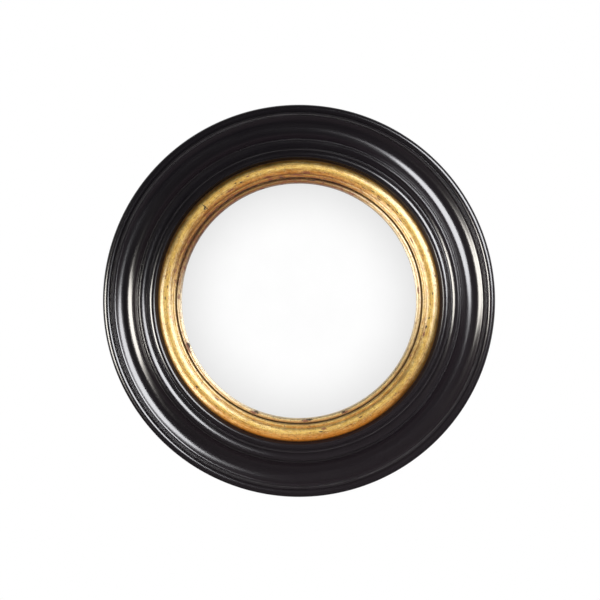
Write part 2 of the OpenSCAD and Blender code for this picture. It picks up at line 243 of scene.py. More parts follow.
# %% [markdown]
# A section is a list of points. Straight members need only their corners, and a round member
# is an arc. Each point holds its radius, its height above the wall and the softness of its
# corner in millimetres. A flag says that the surface after it is bare wood.

# %% Section helpers
def arc(centre, radius, start, end, steps):
    """Points on an arc of a section, from one angle to another in degrees."""
    turns = [math.radians(start + (end - start) * i / steps) for i in range(steps + 1)]
    return [(centre[0] + radius * math.cos(a), centre[1] + radius * math.sin(a), 0.0) for a in turns]


def crown(from_r, to_r, crest, rise, steps=14):
    """A shallow round member between two radii, given by its crest and its rise."""
    half = (to_r - from_r) / 2
    radius = (half ** 2 + rise ** 2) / (2 * rise)
    lean = math.degrees(math.asin(half / radius))
    return arc((from_r + half, crest - radius), radius, 90 + lean, 90 - lean, steps)


def corner(radius, height, soft=0.3):
    """One corner of a section."""
    return [(radius, height, soft)]


print("section helpers are ready")

# %% [markdown]
# Besides its softness, each point of a section carries three values that the tree or a finish
# reads: the distance travelled along the section, whether it is bare wood, and whether its
# surface was worked by hand.

# %% From a section to a piece
def section_mesh(name, points, path_r, bare_from=None, worked=None):
    """Makes a closed wire from a section, with the values that the tree reads at each point."""
    edges = [(i, (i + 1) % len(points)) for i in range(len(points))]
    wire = bpy.data.meshes.new(name)
    wire.from_pydata([((r - path_r) * MM, h * MM, 0) for r, h, _ in points], edges, [])
    travelled = [0.0]
    for (r0, h0, _), (r1, h1, _) in zip(points, points[1:]):
        travelled.append(travelled[-1] + math.hypot(r1 - r0, h1 - h0) * MM)
    bare_at = len(points) if bare_from is None else bare_from
    values = {
        "soft_edge": [soft * MM for _, _, soft in points],
        "section": travelled,
        "bare": [1.0 if i >= bare_at else 0.0 for i in range(len(points))],
        "worked": [1.0 if worked and worked[0] < r < worked[1] and i < bare_at else 0.0
                   for i, (r, _, _) in enumerate(points)],
    }
    for label, numbers in values.items():
        wire.attributes.new(label, "FLOAT", "POINT").data.foreach_set("value", numbers)
    return wire


def turn_piece(name, points, front, back=None, segments=448, bare_from=None, worked=None,
               relief=0.0, relief_size=20.0, seed=1.0):
    """Turns a section into a finished piece."""
    path_r = max(r for r, _, _ in points)
    wire = section_mesh(name, points, path_r, bare_from, worked)
    return run_tree(name, wire, turning, {
        "Segments": segments, "Path radius": path_r * MM, "Arris steps": 3,
        "Relief": relief * MM, "Relief size": relief_size * MM, "Seed": seed,
        "Front material": front, "Back material": back or front,
    }, finish=["WEIGHTED_NORMAL"])


def settle(piece, body, slot, *nodes):
    """Says what a finished piece moves with and what it stands for; what it is made of, the slot, is not
    used.
    """
    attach(piece, body)
    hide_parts(*nodes)


print("pieces can be turned")

# %% [markdown]
# ## Coordinates for a turned finish
# Turning marks, brush strokes and rubbed places follow the ring. A texture on plain object
# coordinates would ignore that, so each finish works out the angle and the radius of a point
# first, and stretches its noise along the ring.

# %% Turned coordinates
class Turned:
    """The place of a point on a turned piece, as sockets in one material."""

    def __init__(self, tree):
        self.tree = tree
        self.place = put(tree, "ShaderNodeTexCoord").outputs["Object"]
        x, _, z = put(tree, "ShaderNodeSeparateXYZ", {0: self.place}).outputs
        flat = put(tree, "ShaderNodeCombineXYZ", {0: x, 1: z}).outputs[0]
        self.radius = put(tree, "ShaderNodeVectorMath", {0: flat}, operation="LENGTH").outputs["Value"]
        self.around = put(tree, "ShaderNodeVectorMath", {0: flat}, operation="NORMALIZE").outputs[0]
        self.angle = calc(tree, "DEGREES", calc(tree, "ARCTAN2", z, x))
        self.section = put(tree, "ShaderNodeAttribute", attribute_name="section").outputs["Fac"]

    def streaks(self, length, width, detail=4.0, shift=0.0, radius=0.2, slant=0.0):
        """Noise drawn out along the ring, or at a slant to it: its streaks in millimetres."""
        across = calc(self.tree, "MULTIPLY_ADD", self.section, 1.0 / (width * MM), shift)
        lift = put(self.tree, "ShaderNodeCombineXYZ", {2: across})
        around = put(self.tree, "ShaderNodeVectorRotate", {
            "Vector": self.around, "Angle": calc(self.tree, "MULTIPLY", self.section, slant / radius),
        }, rotation_type="Z_AXIS").outputs[0] if slant else self.around
        scaled = put(self.tree, "ShaderNodeVectorMath", {
            0: around, "Scale": radius / (length * MM),
        }, operation="SCALE")
        place = put(self.tree, "ShaderNodeVectorMath", {0: scaled.outputs[0], 1: lift.outputs[0]})
        return put(self.tree, "ShaderNodeTexNoise", {
            "Vector": place.outputs[0], "Scale": 1.0, "Detail": detail, "Roughness": 0.6,
        }).outputs[0]

    def noise(self, size, detail=3.0, roughness=0.55, shift=0.0):
        """Plain noise with spots of a size in millimetres."""
        moved = put(self.tree, "ShaderNodeVectorMath", {0: self.place, 1: (shift, shift, shift)})
        return put(self.tree, "ShaderNodeTexNoise", {
            "Vector": moved.outputs[0], "Scale": 1.0 / (size * MM), "Detail": detail, "Roughness": roughness,
        }).outputs[0]

    def near_radius(self, radius, reach, level=0.0):
        """1 within a level stretch about a radius in millimetres, easing to 0 at its reach."""
        away = calc(self.tree, "ABSOLUTE", calc(self.tree, "SUBTRACT", self.radius, radius * MM))
        return ramp(self.tree, away, level * MM, reach * MM, 1.0, 0.0)

    def past_radius(self, start, end, before=0.0, after=1.0):
        """Eases from one value to another between two radii in millimetres."""
        return ramp(self.tree, self.radius, start * MM, end * MM, before, after)

    def facing(self, degrees):
        """1 at an angle round the ring, 0 a quarter turn from it and -1 opposite."""
        aim = (math.cos(math.radians(degrees)), math.sin(math.radians(degrees)), 0.0)
        aimed = put(self.tree, "ShaderNodeVectorMath", {0: self.around, 1: aim}, operation="DOT_PRODUCT")
        return aimed.outputs["Value"]

    def cells(self, size):
        """The outputs of a pattern of cells of a size in millimetres."""
        inputs = {"Vector": self.place, "Scale": 1 / (size * MM)}
        return put(self.tree, "ShaderNodeTexVoronoi", inputs).outputs


print("turned coordinates are ready")

# %% [markdown]
# Every finish starts as Blender's one main shader. Its colour, roughness and relief are worked
# out first, and are filled in together at the end.

# %% Material helpers
def new_material(name):
    """Starts a material, and returns it with its tree."""
    material = bpy.data.materials.new(name)
    material.use_nodes = True
    return material, material.node_tree


def raised(tree, height, strength, depth, under=None):
    """Fine relief from a height: its depth in millimetres, and any relief that it lies over."""
    inputs = {"Height": height, "Strength": strength, "Distance": depth * MM}
    if under is not None:
        inputs["Normal"] = under
    return put(tree, "ShaderNodeBump", inputs).outputs[0]


def finished(material, inputs):
    """Fills the main shader of a material, prints its size, and returns the material."""
    tree = material.node_tree
    fill(tree, tree.nodes["Principled BSDF"], inputs)
    print(f"{material.name}: {len(tree.nodes)} nodes")
    return material


print("material helpers are ready")

# %% [markdown]
# ## Black lacquer
# The moulding is sprayed and rubbed down to a deep satin black. A plain glossy black would look like
# plastic. Real lacquer keeps faint turning marks and small dents. A painted sheen makes the black lighter
# towards the lower right, where more light falls on it. The scoop is lighter at both its ends, for wax and
# for a painted sheen on those steep walls. The sharp arrises are a lighter grey, for an undercoat that rubs
# through and for a painted highlight of the thin light line that each edge catches. The narrow steps, the
# shoulder and the sight edge are hard to reach with a pad, so they stay more matt, and the inner bead is
# dull up to its crest.

# %% The black lacquer
SHEEN_SIDE_ANGLE = -40.0
WAX_AND_SHEEN_LINES = [(210.0, 6.0, 1.5), (234.0, 5.0, 1.5)]
MATT_LINES = [(237.4, 1.8, 1.0), (206.2, 1.4, 0.6)]
SIGHT_EDGE = (182.6, 183.2)
INNER_BEAD_FLANK = (182.4, 185.2)
ARRISES = [(183.6, 0.25), (192.6, 0.45), (203.0, 0.15), (237.7, 0.7), (239.3, 0.2)]
ARRIS_REACH = 0.6
DEEP_BLACK = (0.0036, 0.0024, 0.0040)
CLOUDED_BLACK = (0.0052, 0.0038, 0.0056)
SHEEN_SIDE_BLACK = (0.0135, 0.0100, 0.0125)
WAX_AND_SHEEN_BLACK = (0.0190, 0.0140, 0.0170)
UNDERCOAT_AND_EDGE_HIGHLIGHT = (0.075, 0.070, 0.070)


def build_lacquer():
    material, tree = new_material("black_lacquer")
    at = Turned(tree)
    haze = at.streaks(70, 3.0)
    cloud = at.noise(60)
    fine = at.streaks(90, 0.6, detail=1.0, shift=7.0)
    # Painted sheen: the black turns lighter towards the lower right, where more light falls.
    painted_sheen_side = ramp(tree, at.facing(SHEEN_SIDE_ANGLE), -0.9, 0.8)
    # Wax at both ends of the scoop, with a painted sheen on its steep walls there.
    wax_and_sheen = strongest(tree, [at.near_radius(*line) for line in WAX_AND_SHEEN_LINES])
    colour = blend(tree, cloud, DEEP_BLACK, CLOUDED_BLACK)
    colour = blend(tree, painted_sheen_side, colour, SHEEN_SIDE_BLACK)
    colour = blend(tree, calc(tree, "MULTIPLY", wax_and_sheen, 0.55), colour, WAX_AND_SHEEN_BLACK)
    # The arrises turn a lighter grey: undercoat rubbed through, and a painted highlight for the thin light
    # line that each edge catches.
    rubbed = strongest(tree, (
        calc(tree, "MULTIPLY", at.near_radius(radius, ARRIS_REACH), share) for radius, share in ARRISES
    ))
    broken = ramp(tree, at.streaks(30, 4.0, shift=3.0), 0.30, 0.62, 0.35, 1.0)
    worn = calc(tree, "MULTIPLY", rubbed, broken)
    colour = blend(tree, worn, colour, UNDERCOAT_AND_EDGE_HIGHLIGHT)
    rough = calc(tree, "ADD", ramp(tree, haze, 0.3, 0.7, 0.13, 0.19), calc(tree, "MULTIPLY", cloud, 0.05))
    matt = [at.near_radius(*line) for line in MATT_LINES] + [at.past_radius(*SIGHT_EDGE, 1.0, 0.0)]
    rough = calc(tree, "ADD", rough, calc(tree, "MULTIPLY", strongest(tree, matt), 0.08))
    sheen = at.past_radius(*INNER_BEAD_FLANK, 0.03, 0.5)
    bump = raised(tree, fine, 0.06, 0.01)
    dents = raised(tree, at.noise(14, detail=1.0), 0.25, 0.12, bump)
    return finished(material, {
        "Base Color": colour,
        "Roughness": rough,
        "Specular IOR Level": sheen,
        "Normal": dents,
        "IOR": 1.5,
    })


lacquer = build_lacquer()

# %% [markdown]
# ## Stained wood
# Nobody lacquers what faces the wall. The frame is glued up from straight blocks of wood
# before it is turned, so behind it the grain runs straight along each block, with a fine glue
# line between two blocks. Grain drawn round the ring would be simpler, but no board grows so.

# %% The stained wood
STAIN_DARK = (0.020, 0.016, 0.014)
STAIN_PALE = (0.055, 0.042, 0.034)
GLUE = (0.006, 0.005, 0.004)
GRAIN_SCALE = (260, 260, 9)
GRAIN_SHIFT = 13.7
BLOCKS = 8


def build_stain():
    material, tree = new_material("black_stain")
    at = Turned(tree)
    block = 360 / BLOCKS
    turn = calc(tree, "ADD", at.angle, 360.0)
    number = calc(tree, "FLOOR", calc(tree, "DIVIDE", turn, block))
    middle = calc(tree, "RADIANS", calc(tree, "MULTIPLY", calc(tree, "ADD", number, 0.5), block))
    flat = put(tree, "ShaderNodeVectorRotate", {
        "Vector": at.place, "Axis": (0, 1, 0), "Angle": middle,
    }, rotation_type="AXIS_ANGLE")
    board = put(tree, "ShaderNodeMapping", {"Vector": flat.outputs[0], "Scale": GRAIN_SCALE})
    shift = put(tree, "ShaderNodeCombineXYZ", {2: calc(tree, "MULTIPLY", number, GRAIN_SHIFT)})
    place = put(tree, "ShaderNodeVectorMath", {0: board.outputs[0], 1: shift.outputs[0]})
    grain = put(tree, "ShaderNodeTexNoise", {
        "Vector": place.outputs[0], "Scale": 1.0, "Detail": 5.0, "Roughness": 0.6, "Distortion": 0.6,
    }).outputs[0]
    along = calc(tree, "FRACT", calc(tree, "DIVIDE", turn, block))
    nearest = calc(tree, "MINIMUM", along, calc(tree, "SUBTRACT", 1.0, along))
    off_joint = calc(tree, "MULTIPLY", nearest, block)
    glue = ramp(tree, off_joint, 0.02, 0.12, 1.0, 0.0)
    colour = blend(tree, ramp(tree, grain, 0.35, 0.68), STAIN_DARK, STAIN_PALE)
    colour = blend(tree, calc(tree, "MULTIPLY", glue, 0.8), colour, GLUE)
    pores = calc(tree, "SUBTRACT", grain, calc(tree, "MULTIPLY", glue, 0.5))
    bump = raised(tree, pores, 0.5, 0.25)
    return finished(material, {
        "Base Color": colour,
        "Roughness": ramp(tree, grain, 0.3, 0.7, 0.75, 0.58),
        "Normal": bump,
    })


stain = build_stain()
print("stained wood:", BLOCKS, "blocks")

# %% [markdown]
# ## The black moulding
# From the slip outwards the moulding has a bevel, a bead, a flat band between two cut lines, a
# higher bead, a wide scoop, two narrow steps and a round rim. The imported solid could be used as
# it is, but its arrises are sharp, where many coats of lacquer have softened the real ones. The
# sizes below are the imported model's, in millimetres, but for the outer side of the scoop: the
# highlight there is wide, as on a side that rounds over, so an arc of its own eases it here.

# %% Sizes of the moulding
BACK = 8.0
HIGH = 50.0
ROOT = 46.1
OPENING_R = 180.3
BEVEL_FOOT = 39.5
BEVEL_R = 182.7
INNER_BEAD = (182.8, 190.1, 48.0, 1.2)
FIRST_CUT = (190.1, 191.0)
BAND = (191.3, 194.1, 46.9, 0.1)
BAND_SIDE = 46.75
SECOND_CUT = (194.4, 195.3)
REBATE_R = 186.5
SEAT = 31.0
BEAD = ((202.15, HIGH - 11.0), 11.0)
BEAD_EDGE = ((202.15, HIGH - 1.4), 1.4)
BEAD_EDGE_R = 203.55
SHOULDER = 45.4
SHOULDER_R = 206.5
SCOOP = ((222.3, 51.4), 17.4)
SCOOP_OUT_R = 232.16
EASE = ((236.0, 34.48), 4.3)
EASE_R = 233.56
EASE_TOP = (236.6, 38.78)
FIRST_STEP = (236.9, 238.5, 41.6)
SECOND_STEP = (238.5, 240.1, 42.5)
RIM_CUT = (240.1, 241.0, 41.7)
RIM = ((244.9, 39.4), 5.1)
SIDE_R = 247.0
SIDE_TOP = 36.0
FOOT = ((247.0, 18.0), 6.0)
FOOT_R = 241.0


def angle_at_radius(circle, radius, sign):
    """Angle in degrees of the point of a circle at a radius, on its upper or lower half."""
    (centre_r, _), size = circle
    return sign * math.degrees(math.acos((radius - centre_r) / size))


def arc_between(circle, from_r, to_r, sign, steps):
    """The arc of a circle between two radii, on its upper or lower half."""
    return arc(*circle, angle_at_radius(circle, from_r, sign), angle_at_radius(circle, to_r, sign), steps)


def land(from_r, to_r, height, soft, end_soft=None):
    """A level member between two radii."""
    return corner(from_r, height, soft) + corner(to_r, height, soft if end_soft is None else end_soft)


print("width of the moulding's face in mm:", RIM[0][0] + RIM[1] - OPENING_R)

# %% [markdown]
# The section runs from the opening outwards over the front, down the side and back under the
# foot to the rebate. Everything after the foot is bare wood.

# %% Turn the moulding
def moulding_section():
    """The outline of the moulding, and the point where bare wood starts."""
    points = corner(OPENING_R, SEAT) + corner(OPENING_R, BEVEL_FOOT, 0.4) + corner(BEVEL_R, ROOT, 0.2)
    points += crown(*INNER_BEAD) + land(*FIRST_CUT, ROOT, 0.1) + corner(FIRST_CUT[1], BAND_SIDE, 0.15)
    points += crown(*BAND, 6)
    points += corner(SECOND_CUT[0], BAND_SIDE, 0.15) + land(*SECOND_CUT, ROOT, 0.1)
    points += arc(*BEAD, angle_at_radius(BEAD, SECOND_CUT[1], 1), 90, 16) + arc(*BEAD_EDGE, 90, 0, 8)
    points += corner(BEAD_EDGE_R, SHOULDER, 0.5) + corner(SHOULDER_R, SHOULDER, 0.7)
    points += arc_between(SCOOP, SHOULDER_R, SCOOP_OUT_R, -1, 32)
    points += arc(*EASE, angle_at_radius(EASE, EASE_R, 1), 90, 10) + corner(*EASE_TOP, 0.1)
    points += land(*FIRST_STEP, 0.15) + land(*SECOND_STEP, 0.25, 0.15) + land(*RIM_CUT, 0.1)
    fall = math.degrees(math.asin((RIM[0][1] - SIDE_TOP) / RIM[1]))
    points += arc(*RIM, angle_at_radius(RIM, RIM_CUT[1], 1), -fall, 26)
    points += corner(SIDE_R, SIDE_TOP, 0.4) + arc(*FOOT, 90, 180, 12)
    bare_from = len(points)
    points += corner(FOOT_R, BACK, 0.5) + corner(REBATE_R, BACK, 0.4) + corner(REBATE_R, SEAT, 0.3)
    return points, bare_from


outline, bare_from = moulding_section()
moulding = turn_piece("moulding", outline, lacquer, stain, bare_from=bare_from)
settle(moulding, "frame", "black_lacquer", "frame_ring")

# %% [markdown]
# ## Gilding
# Metal leaf is laid over red clay on gesso, rubbed so that the clay shows in places, and toned with a brown
# wash. One flat gold would look like paint, so the finish is made in the layers of the real one: leaf, wash,
# clay, dirt, and a clear coat over all that is still bright. Painted shade, a painted highlight and a
# painted reflection are mixed into these layers too. Each mark below has an angle round the ring, a radius,
# a length along the ring and a width.

# %% Colours and marks of the gilding
LEAF_JOINTS = 8
GROOVE_R = 156.8
QUIRK_R = 162.4
SHADED_ABOVE_ANGLE = 115.0
WASH_AND_SHADE_END = (160.5, 166.5)
LIP_END = (154.8, 156.2)
OUTER_FLANK = (176.0, 178.6)
INNER_FLANK = (161.0, 167.5)
SHADED_OUTER_EDGE = (178.6, 179.4)
LEAF = (0.80, 0.56, 0.16)
PALE_LEAF = (0.92, 0.70, 0.26)
TARNISH = (0.60, 0.36, 0.10)
GLEAM = (0.96, 0.77, 0.38)
BRUSHED_BROWN = (0.52, 0.25, 0.06)
RUBBED_BRIGHT = (0.97, 0.84, 0.50)
WASH_AND_SHADE_BROWN = (0.38, 0.14, 0.03)
FLANK_REFLECTION_ORANGE = (0.80, 0.38, 0.07)
LIP_HIGHLIGHT_PALE = (0.88, 0.76, 0.56)
LIP_SHADE_BROWN = (0.20, 0.08, 0.02)
LAP = (0.36, 0.19, 0.06)
CLAY = (0.20, 0.048, 0.036)
DIRT_AND_EDGE_SHADE = (0.022, 0.010, 0.006)
CLAY_MARKS = [
    (86.5, 163.6, 9.0, 2.0), (91.0, 160.8, 5.0, 1.2), (112.5, 171.5, 2.6, 1.2), (52.5, 167.0, 3.0, 1.4),
    (-79.0, 166.0, 4.0, 1.7), (-15.0, 164.5, 3.5, 1.2), (28.0, 162.8, 5.0, 0.8), (-130.0, 163.2, 4.5, 0.9),
    (-157.0, 153.4, 9.0, 2.6), (-112.0, 153.6, 6.0, 2.0), (-87.0, 153.2, 7.0, 2.0),
    (-67.5, 153.4, 6.0, 1.8),
    (5.0, 152.6, 5.0, 1.6), (178.0, 153.0, 4.0, 1.4), (122.0, 165.5, 8.0, 1.4), (104.0, 162.8, 7.0, 1.2),
]
DARK_MARKS = [
    (135.0, 168.8, 1.0, 6.2), (135.6, 168.0, 2.6, 1.8), (116.0, 168.0, 2.2, 1.0), (118.5, 170.2, 1.5, 0.9),
    (-158.0, 151.6, 4.0, 1.6), (-111.0, 151.6, 4.2, 1.6), (-85.0, 152.0, 4.6, 1.5),
    (-68.1, 152.4, 3.4, 1.3),
    (83.5, 154.6, 5.0, 0.8), (98.0, 158.8, 3.0, 0.7), (3.0, 170.5, 2.0, 0.9), (-80.5, 169.0, 3.4, 1.0),
    (38.5, 165.0, 4.0, 0.7), (42.0, 168.4, 2.2, 0.8), (47.0, 166.4, 3.8, 0.7), (52.0, 164.6, 4.0, 0.8),
    (56.0, 168.0, 3.2, 0.7), (60.0, 165.8, 3.6, 0.7), (-11.6, 165.4, 2.6, 1.1), (-7.5, 167.0, 2.0, 0.8),
    (179.0, 170.5, 2.8, 0.9), (174.0, 168.2, 2.2, 0.8), (-140.0, 169.6, 3.0, 0.9),
    (-62.0, 167.4, 2.6, 0.9),
]


print("gilding:", len(CLAY_MARKS), "marks of clay and", len(DARK_MARKS), "of dirt")

# %% [markdown]
# ### Leaf, wash and painted light
# Leaf is mottled, brushed along the ring and rubbed at a slant to it. The brown wash lies on the inner
# flank, and painted shade thickens it above the glass, where the flank faces down. The steep outer flank is
# tinted orange as a painted reflection of warm light, the lip is paler as a painted highlight, and painted
# shade browns the lip above the glass. A fine lap shows where two sheets join.

# %% Leaf and wash
def mottled_leaf(at, patch, mottle, brushed, rubbed):
    """The leaf before it is toned."""
    tree = at.tree
    leaf = blend(tree, ramp(tree, patch, 0.35, 0.65), LEAF, PALE_LEAF)
    leaf = blend(tree, ramp(tree, mottle, 0.50, 0.62, 0.0, 0.60), leaf, TARNISH)
    leaf = blend(tree, ramp(tree, mottle, 0.36, 0.46, 0.45, 0.0), leaf, GLEAM)
    leaf = blend(tree, ramp(tree, brushed, 0.47, 0.64, 0.0, 0.85), leaf, BRUSHED_BROWN)
    return blend(tree, ramp(tree, rubbed, 0.52, 0.68, 0.0, 0.75), leaf, RUBBED_BRIGHT)


def toned_leaf(at, leaf, brushed, shaded_above):
    """The leaf with its brown toning and painted shade, a painted orange reflection on the outer flank, and
    a lip made paler as a painted highlight.
    """
    tree = at.tree
    # Painted shade: the wash is thickened above the glass, where the inner flank faces down.
    painted_shade_share = ramp(tree, shaded_above, 0.0, 1.0, 0.10, 0.95)
    inner = calc(tree, "MULTIPLY", at.past_radius(*WASH_AND_SHADE_END, 1.0, 0.0), painted_shade_share)
    wash_and_shade = calc(tree, "MULTIPLY", inner, ramp(tree, brushed, 0.30, 0.60, 0.6, 1.0))
    leaf = blend(tree, wash_and_shade, leaf, WASH_AND_SHADE_BROWN)
    # Painted reflection: the steep outer flank is tinted orange for the warm light that it mirrors.
    leaf = blend(tree, at.past_radius(*OUTER_FLANK, 0.0, 0.8), leaf, FLANK_REFLECTION_ORANGE)
    # Painted highlight: the lip is made paler for the cream highlight that it shows.
    lip = at.past_radius(*LIP_END, 1.0, 0.0)
    leaf = blend(tree, calc(tree, "MULTIPLY", lip, 0.5), leaf, LIP_HIGHLIGHT_PALE)
    # Painted shade browns the lip above the glass, where it faces down.
    shaded_lip = calc(tree, "MULTIPLY", calc(tree, "MULTIPLY", lip, shaded_above), 0.85)
    return blend(tree, shaded_lip, leaf, LIP_SHADE_BROWN)


def lapped_leaf(at, leaf):
    """The leaf with its joints, which run a little crooked."""
    tree = at.tree
    crooked = calc(tree, "MULTIPLY", at.noise(12, shift=5.0), 2.2)
    turn = calc(tree, "ADD", calc(tree, "ADD", at.angle, 360.0), crooked)
    along = calc(tree, "FRACT", calc(tree, "DIVIDE", turn, 360 / LEAF_JOINTS))
    joint = ramp(tree, calc(tree, "ABSOLUTE", calc(tree, "SUBTRACT", along, 0.5)), 0.004, 0.014, 1.0, 0.0)
    return blend(tree, calc(tree, "MULTIPLY", joint, 0.15), leaf, LAP)


print("leaf joints every", 360 / LEAF_JOINTS, "degrees")

# %% [markdown]
# ### Clay, dirt and painted shade
# Rubbing bares the clay in ragged spots and in smudges on the inner flank. Dirt lies in the groove inside
# the small bead and in specks. Painted shade darkens the edge against the black, standing in for the shadow
# that the moulding would cast there. The marks could be painted on an image, but here each is measured from
# its own centre, with noise to fray it. A mark is compared with the strongest before it as soon as it is
# made, because a shader can't hold many values at once.

# %% Clay and dirt
def marked(at, marks):
    """Ragged marks on the ring, from 0 to 1."""
    tree = at.tree
    ragged = calc(tree, "MULTIPLY", at.noise(1.6), 1.8)
    most = 0.0
    for degrees, radius, length, width in marks:
        along = calc(tree, "SUBTRACT", at.angle, degrees)
        along = calc(tree, "MULTIPLY", along, math.radians(radius) / length)
        across = calc(tree, "SUBTRACT", at.radius, radius * MM)
        across = calc(tree, "MULTIPLY", across, 1.0 / (width * MM))
        offset = put(tree, "ShaderNodeCombineXYZ", {0: along, 1: across})
        away = put(tree, "ShaderNodeVectorMath", {0: offset.outputs[0]}, operation="LENGTH")
        near = ramp(tree, calc(tree, "ADD", ragged, away.outputs["Value"]), 1.4, 2.1, 1.0, 0.0)
        most = calc(tree, "MAXIMUM", most, near)
    return most


def bared_clay(at, shaded_above):
    """Where the clay shows: worn places, smudges on the inner flank and marks."""
    tree = at.tree
    worn = calc(tree, "MULTIPLY_ADD", at.noise(6, shift=9.0), 0.5,
                calc(tree, "MULTIPLY", at.streaks(9, 2.2, shift=21.0, radius=0.17), 0.5))
    flank = at.past_radius(*INNER_FLANK, 1.0, 0.0)
    smudge = ramp(tree, at.streaks(7, 3.0, shift=41.0, radius=0.165), 0.52, 0.60, 0.0, 0.90)
    # The smudges are thicker above the glass, as painted shade there.
    smudge = calc(tree, "MULTIPLY", smudge, ramp(tree, shaded_above, 0.0, 0.6, 0.25, 1.0))
    return strongest(tree, [
        ramp(tree, worn, 0.58, 0.66), calc(tree, "MULTIPLY", smudge, flank), marked(at, CLAY_MARKS),
    ])


def lodged_dirt_and_edge_shade(at, shaded_above):
    """Where dirt lies, in the groove, in specks and in marks, and painted shade at the outer edge."""
    tree = at.tree
    quirk = calc(tree, "MULTIPLY", at.near_radius(QUIRK_R, 0.8, 0.2), 0.12)
    # Painted shade at the edge against the black moulding.
    edge = at.past_radius(*SHADED_OUTER_EDGE, 0.0, 0.9)
    groove = calc(tree, "MAXIMUM", at.near_radius(GROOVE_R, 1.0, 0.45), quirk)
    broken = ramp(tree, at.streaks(4, 1.2, shift=31.0, radius=0.16), 0.36, 0.52, 0.2, 1.0)
    broken = calc(tree, "MAXIMUM", broken, ramp(tree, shaded_above, 0.0, 0.5, 0.9, 0.0))
    specks = ramp(tree, at.noise(1.5, detail=1.0, shift=4.0), 0.65, 0.72)
    dirt = [calc(tree, "MULTIPLY", groove, broken), calc(tree, "MULTIPLY", specks, 0.75), edge]
    return strongest(tree, dirt + [marked(at, DARK_MARKS)])


print("clay and dirt are ready")

# %% [markdown]
# ### The whole finish
# Leaf is a metal and takes a bright coat, and clay and dirt do neither, so one value for how
# dull a point is drives the metal, the coat and the roughness together. The streaks that colour
# the leaf also raise it, which makes it glint unevenly.

# %% The gilding
def build_gilding():
    material, tree = new_material("gilding")
    at = Turned(tree)
    patch = at.noise(16)
    mottle = at.noise(4.5, detail=4.0, roughness=0.65, shift=2.0)
    brushed = at.streaks(16, 1.0, radius=0.17)
    rubbed = at.streaks(6, 0.8, detail=3.0, shift=11.0, radius=0.17, slant=0.9)
    leaf = mottled_leaf(at, patch, mottle, brushed, rubbed)
    # A mask for the painted shade above the glass, where the inner flank and the lip face down.
    shaded_above = ramp(tree, at.facing(SHADED_ABOVE_ANGLE), 0.35, 0.85)
    leaf = lapped_leaf(at, toned_leaf(at, leaf, brushed, shaded_above))
    clay = bared_clay(at, shaded_above)
    dirt = lodged_dirt_and_edge_shade(at, shaded_above)
    colour = blend(tree, calc(tree, "MULTIPLY", clay, 0.88), leaf, CLAY)
    # Dirt, and painted shade at the outer edge, darken the colour.
    colour = blend(tree, calc(tree, "MULTIPLY", dirt, 0.96), colour, DIRT_AND_EDGE_SHADE)
    dull = calc(tree, "MAXIMUM", calc(tree, "MULTIPLY", clay, 0.6), dirt)
    rough = calc(tree, "ADD", ramp(tree, patch, 0.3, 0.7, 0.36, 0.46), calc(tree, "MULTIPLY", dull, 0.2))
    height = calc(tree, "SUBTRACT", calc(tree, "ADD", brushed, rubbed), dull)
    bump = raised(tree, height, 0.8, 0.3)
    return finished(material, {
        "Base Color": colour,
        "Metallic": ramp(tree, dull, 0.0, 1.0, 1.0, 0.15),
        "Roughness": rough,
        "Normal": bump,
        "Coat Weight": ramp(tree, dull, 0.0, 0.8, 1.0, 0.05),
        "Coat Roughness": 0.22,
        "Coat IOR": 2.35,
    })


gilding = build_gilding()

# %% [markdown]
# ## The gilt slip
# The slip is a separate ring inside the moulding. It has a lip that covers the rim of the
# glass, a groove, a small bead and one broad bead. It could be turned as true as the moulding,
# but its gesso was smoothed by hand, so the tree gives it a little unevenness.

# %% Turn the slip
GILT = ((169.7, 30.5), 12.0)
SMALL_BEAD = ((160.2, 37.9), 3.0)
LIP = ((153.3, 35.8), 3.3)
GROOVE = (156.1, 157.5, 36.65)
SIGHT_R = 150.0
SLIP_R = 180.0
FLANGE_R = 186.2
GLASS_SEAT_R = 155.9
BOARD = 12.0
LIP_UNDER = 35.4


def slip_section():
    """The outline from the lip outwards and back, and the point where bare wood starts."""
    points = corner(SIGHT_R, LIP_UNDER, 0.1)
    points += arc(*LIP, 180, angle_at_radius(LIP, GROOVE[0], 1), 16) + land(*GROOVE, 0.1)
    points += arc_between(SMALL_BEAD, GROOVE[1], QUIRK_R, 1, 14)
    points += arc_between(GILT, QUIRK_R, SLIP_R, 1, 34) + corner(SLIP_R, SEAT, 0.2)
    bare_from = len(points)
    points += corner(FLANGE_R, SEAT, 0.3) + corner(FLANGE_R, BOARD, 0.3)
    points += corner(GLASS_SEAT_R, BOARD, 0.3) + corner(GLASS_SEAT_R, LIP_UNDER, 0.2)
    return points, bare_from


outline, bare_from = slip_section()
slip = turn_piece("slip", outline, gilding, stain, segments=1000, bare_from=bare_from,
                  worked=(151.0, 179.5), relief=0.35, relief_size=18.0)
settle(slip, "frame", "gilding", "gilt_slip")

# %% [markdown]
# ## The convex glass
# The glass is cut from a blown sphere of 1.2 m radius and silvered on its hollow side. A mirror
# could be built as clear glass over a metal skin, but from the front the two read as one
# bright surface, so a polished metal gives the same picture. Its back is painted, and its bare
# rim is greenish and hidden behind the lip.

# %% Silvered glass
GLASS_RIM = (151.5, 154.8)
SILVER_DULL = (0.985, 0.985, 0.985)
SILVER = (0.998, 0.998, 0.998)
RIM_GREEN = (0.30, 0.42, 0.37)


def build_silvering():
    material, tree = new_material("mirror_glass")
    at = Turned(tree)
    rim = at.past_radius(*GLASS_RIM)
    film = at.noise(45, detail=4.0)
    colour = blend(tree, ramp(tree, film, 0.3, 0.7), SILVER_DULL, SILVER)
    return finished(material, {
        "Base Color": blend(tree, rim, colour, RIM_GREEN),
        "Roughness": calc(tree, "MULTIPLY", rim, 0.3),
        "Metallic": ramp(tree, rim, 0.0, 1.0, 1.0, 0.3),
    })


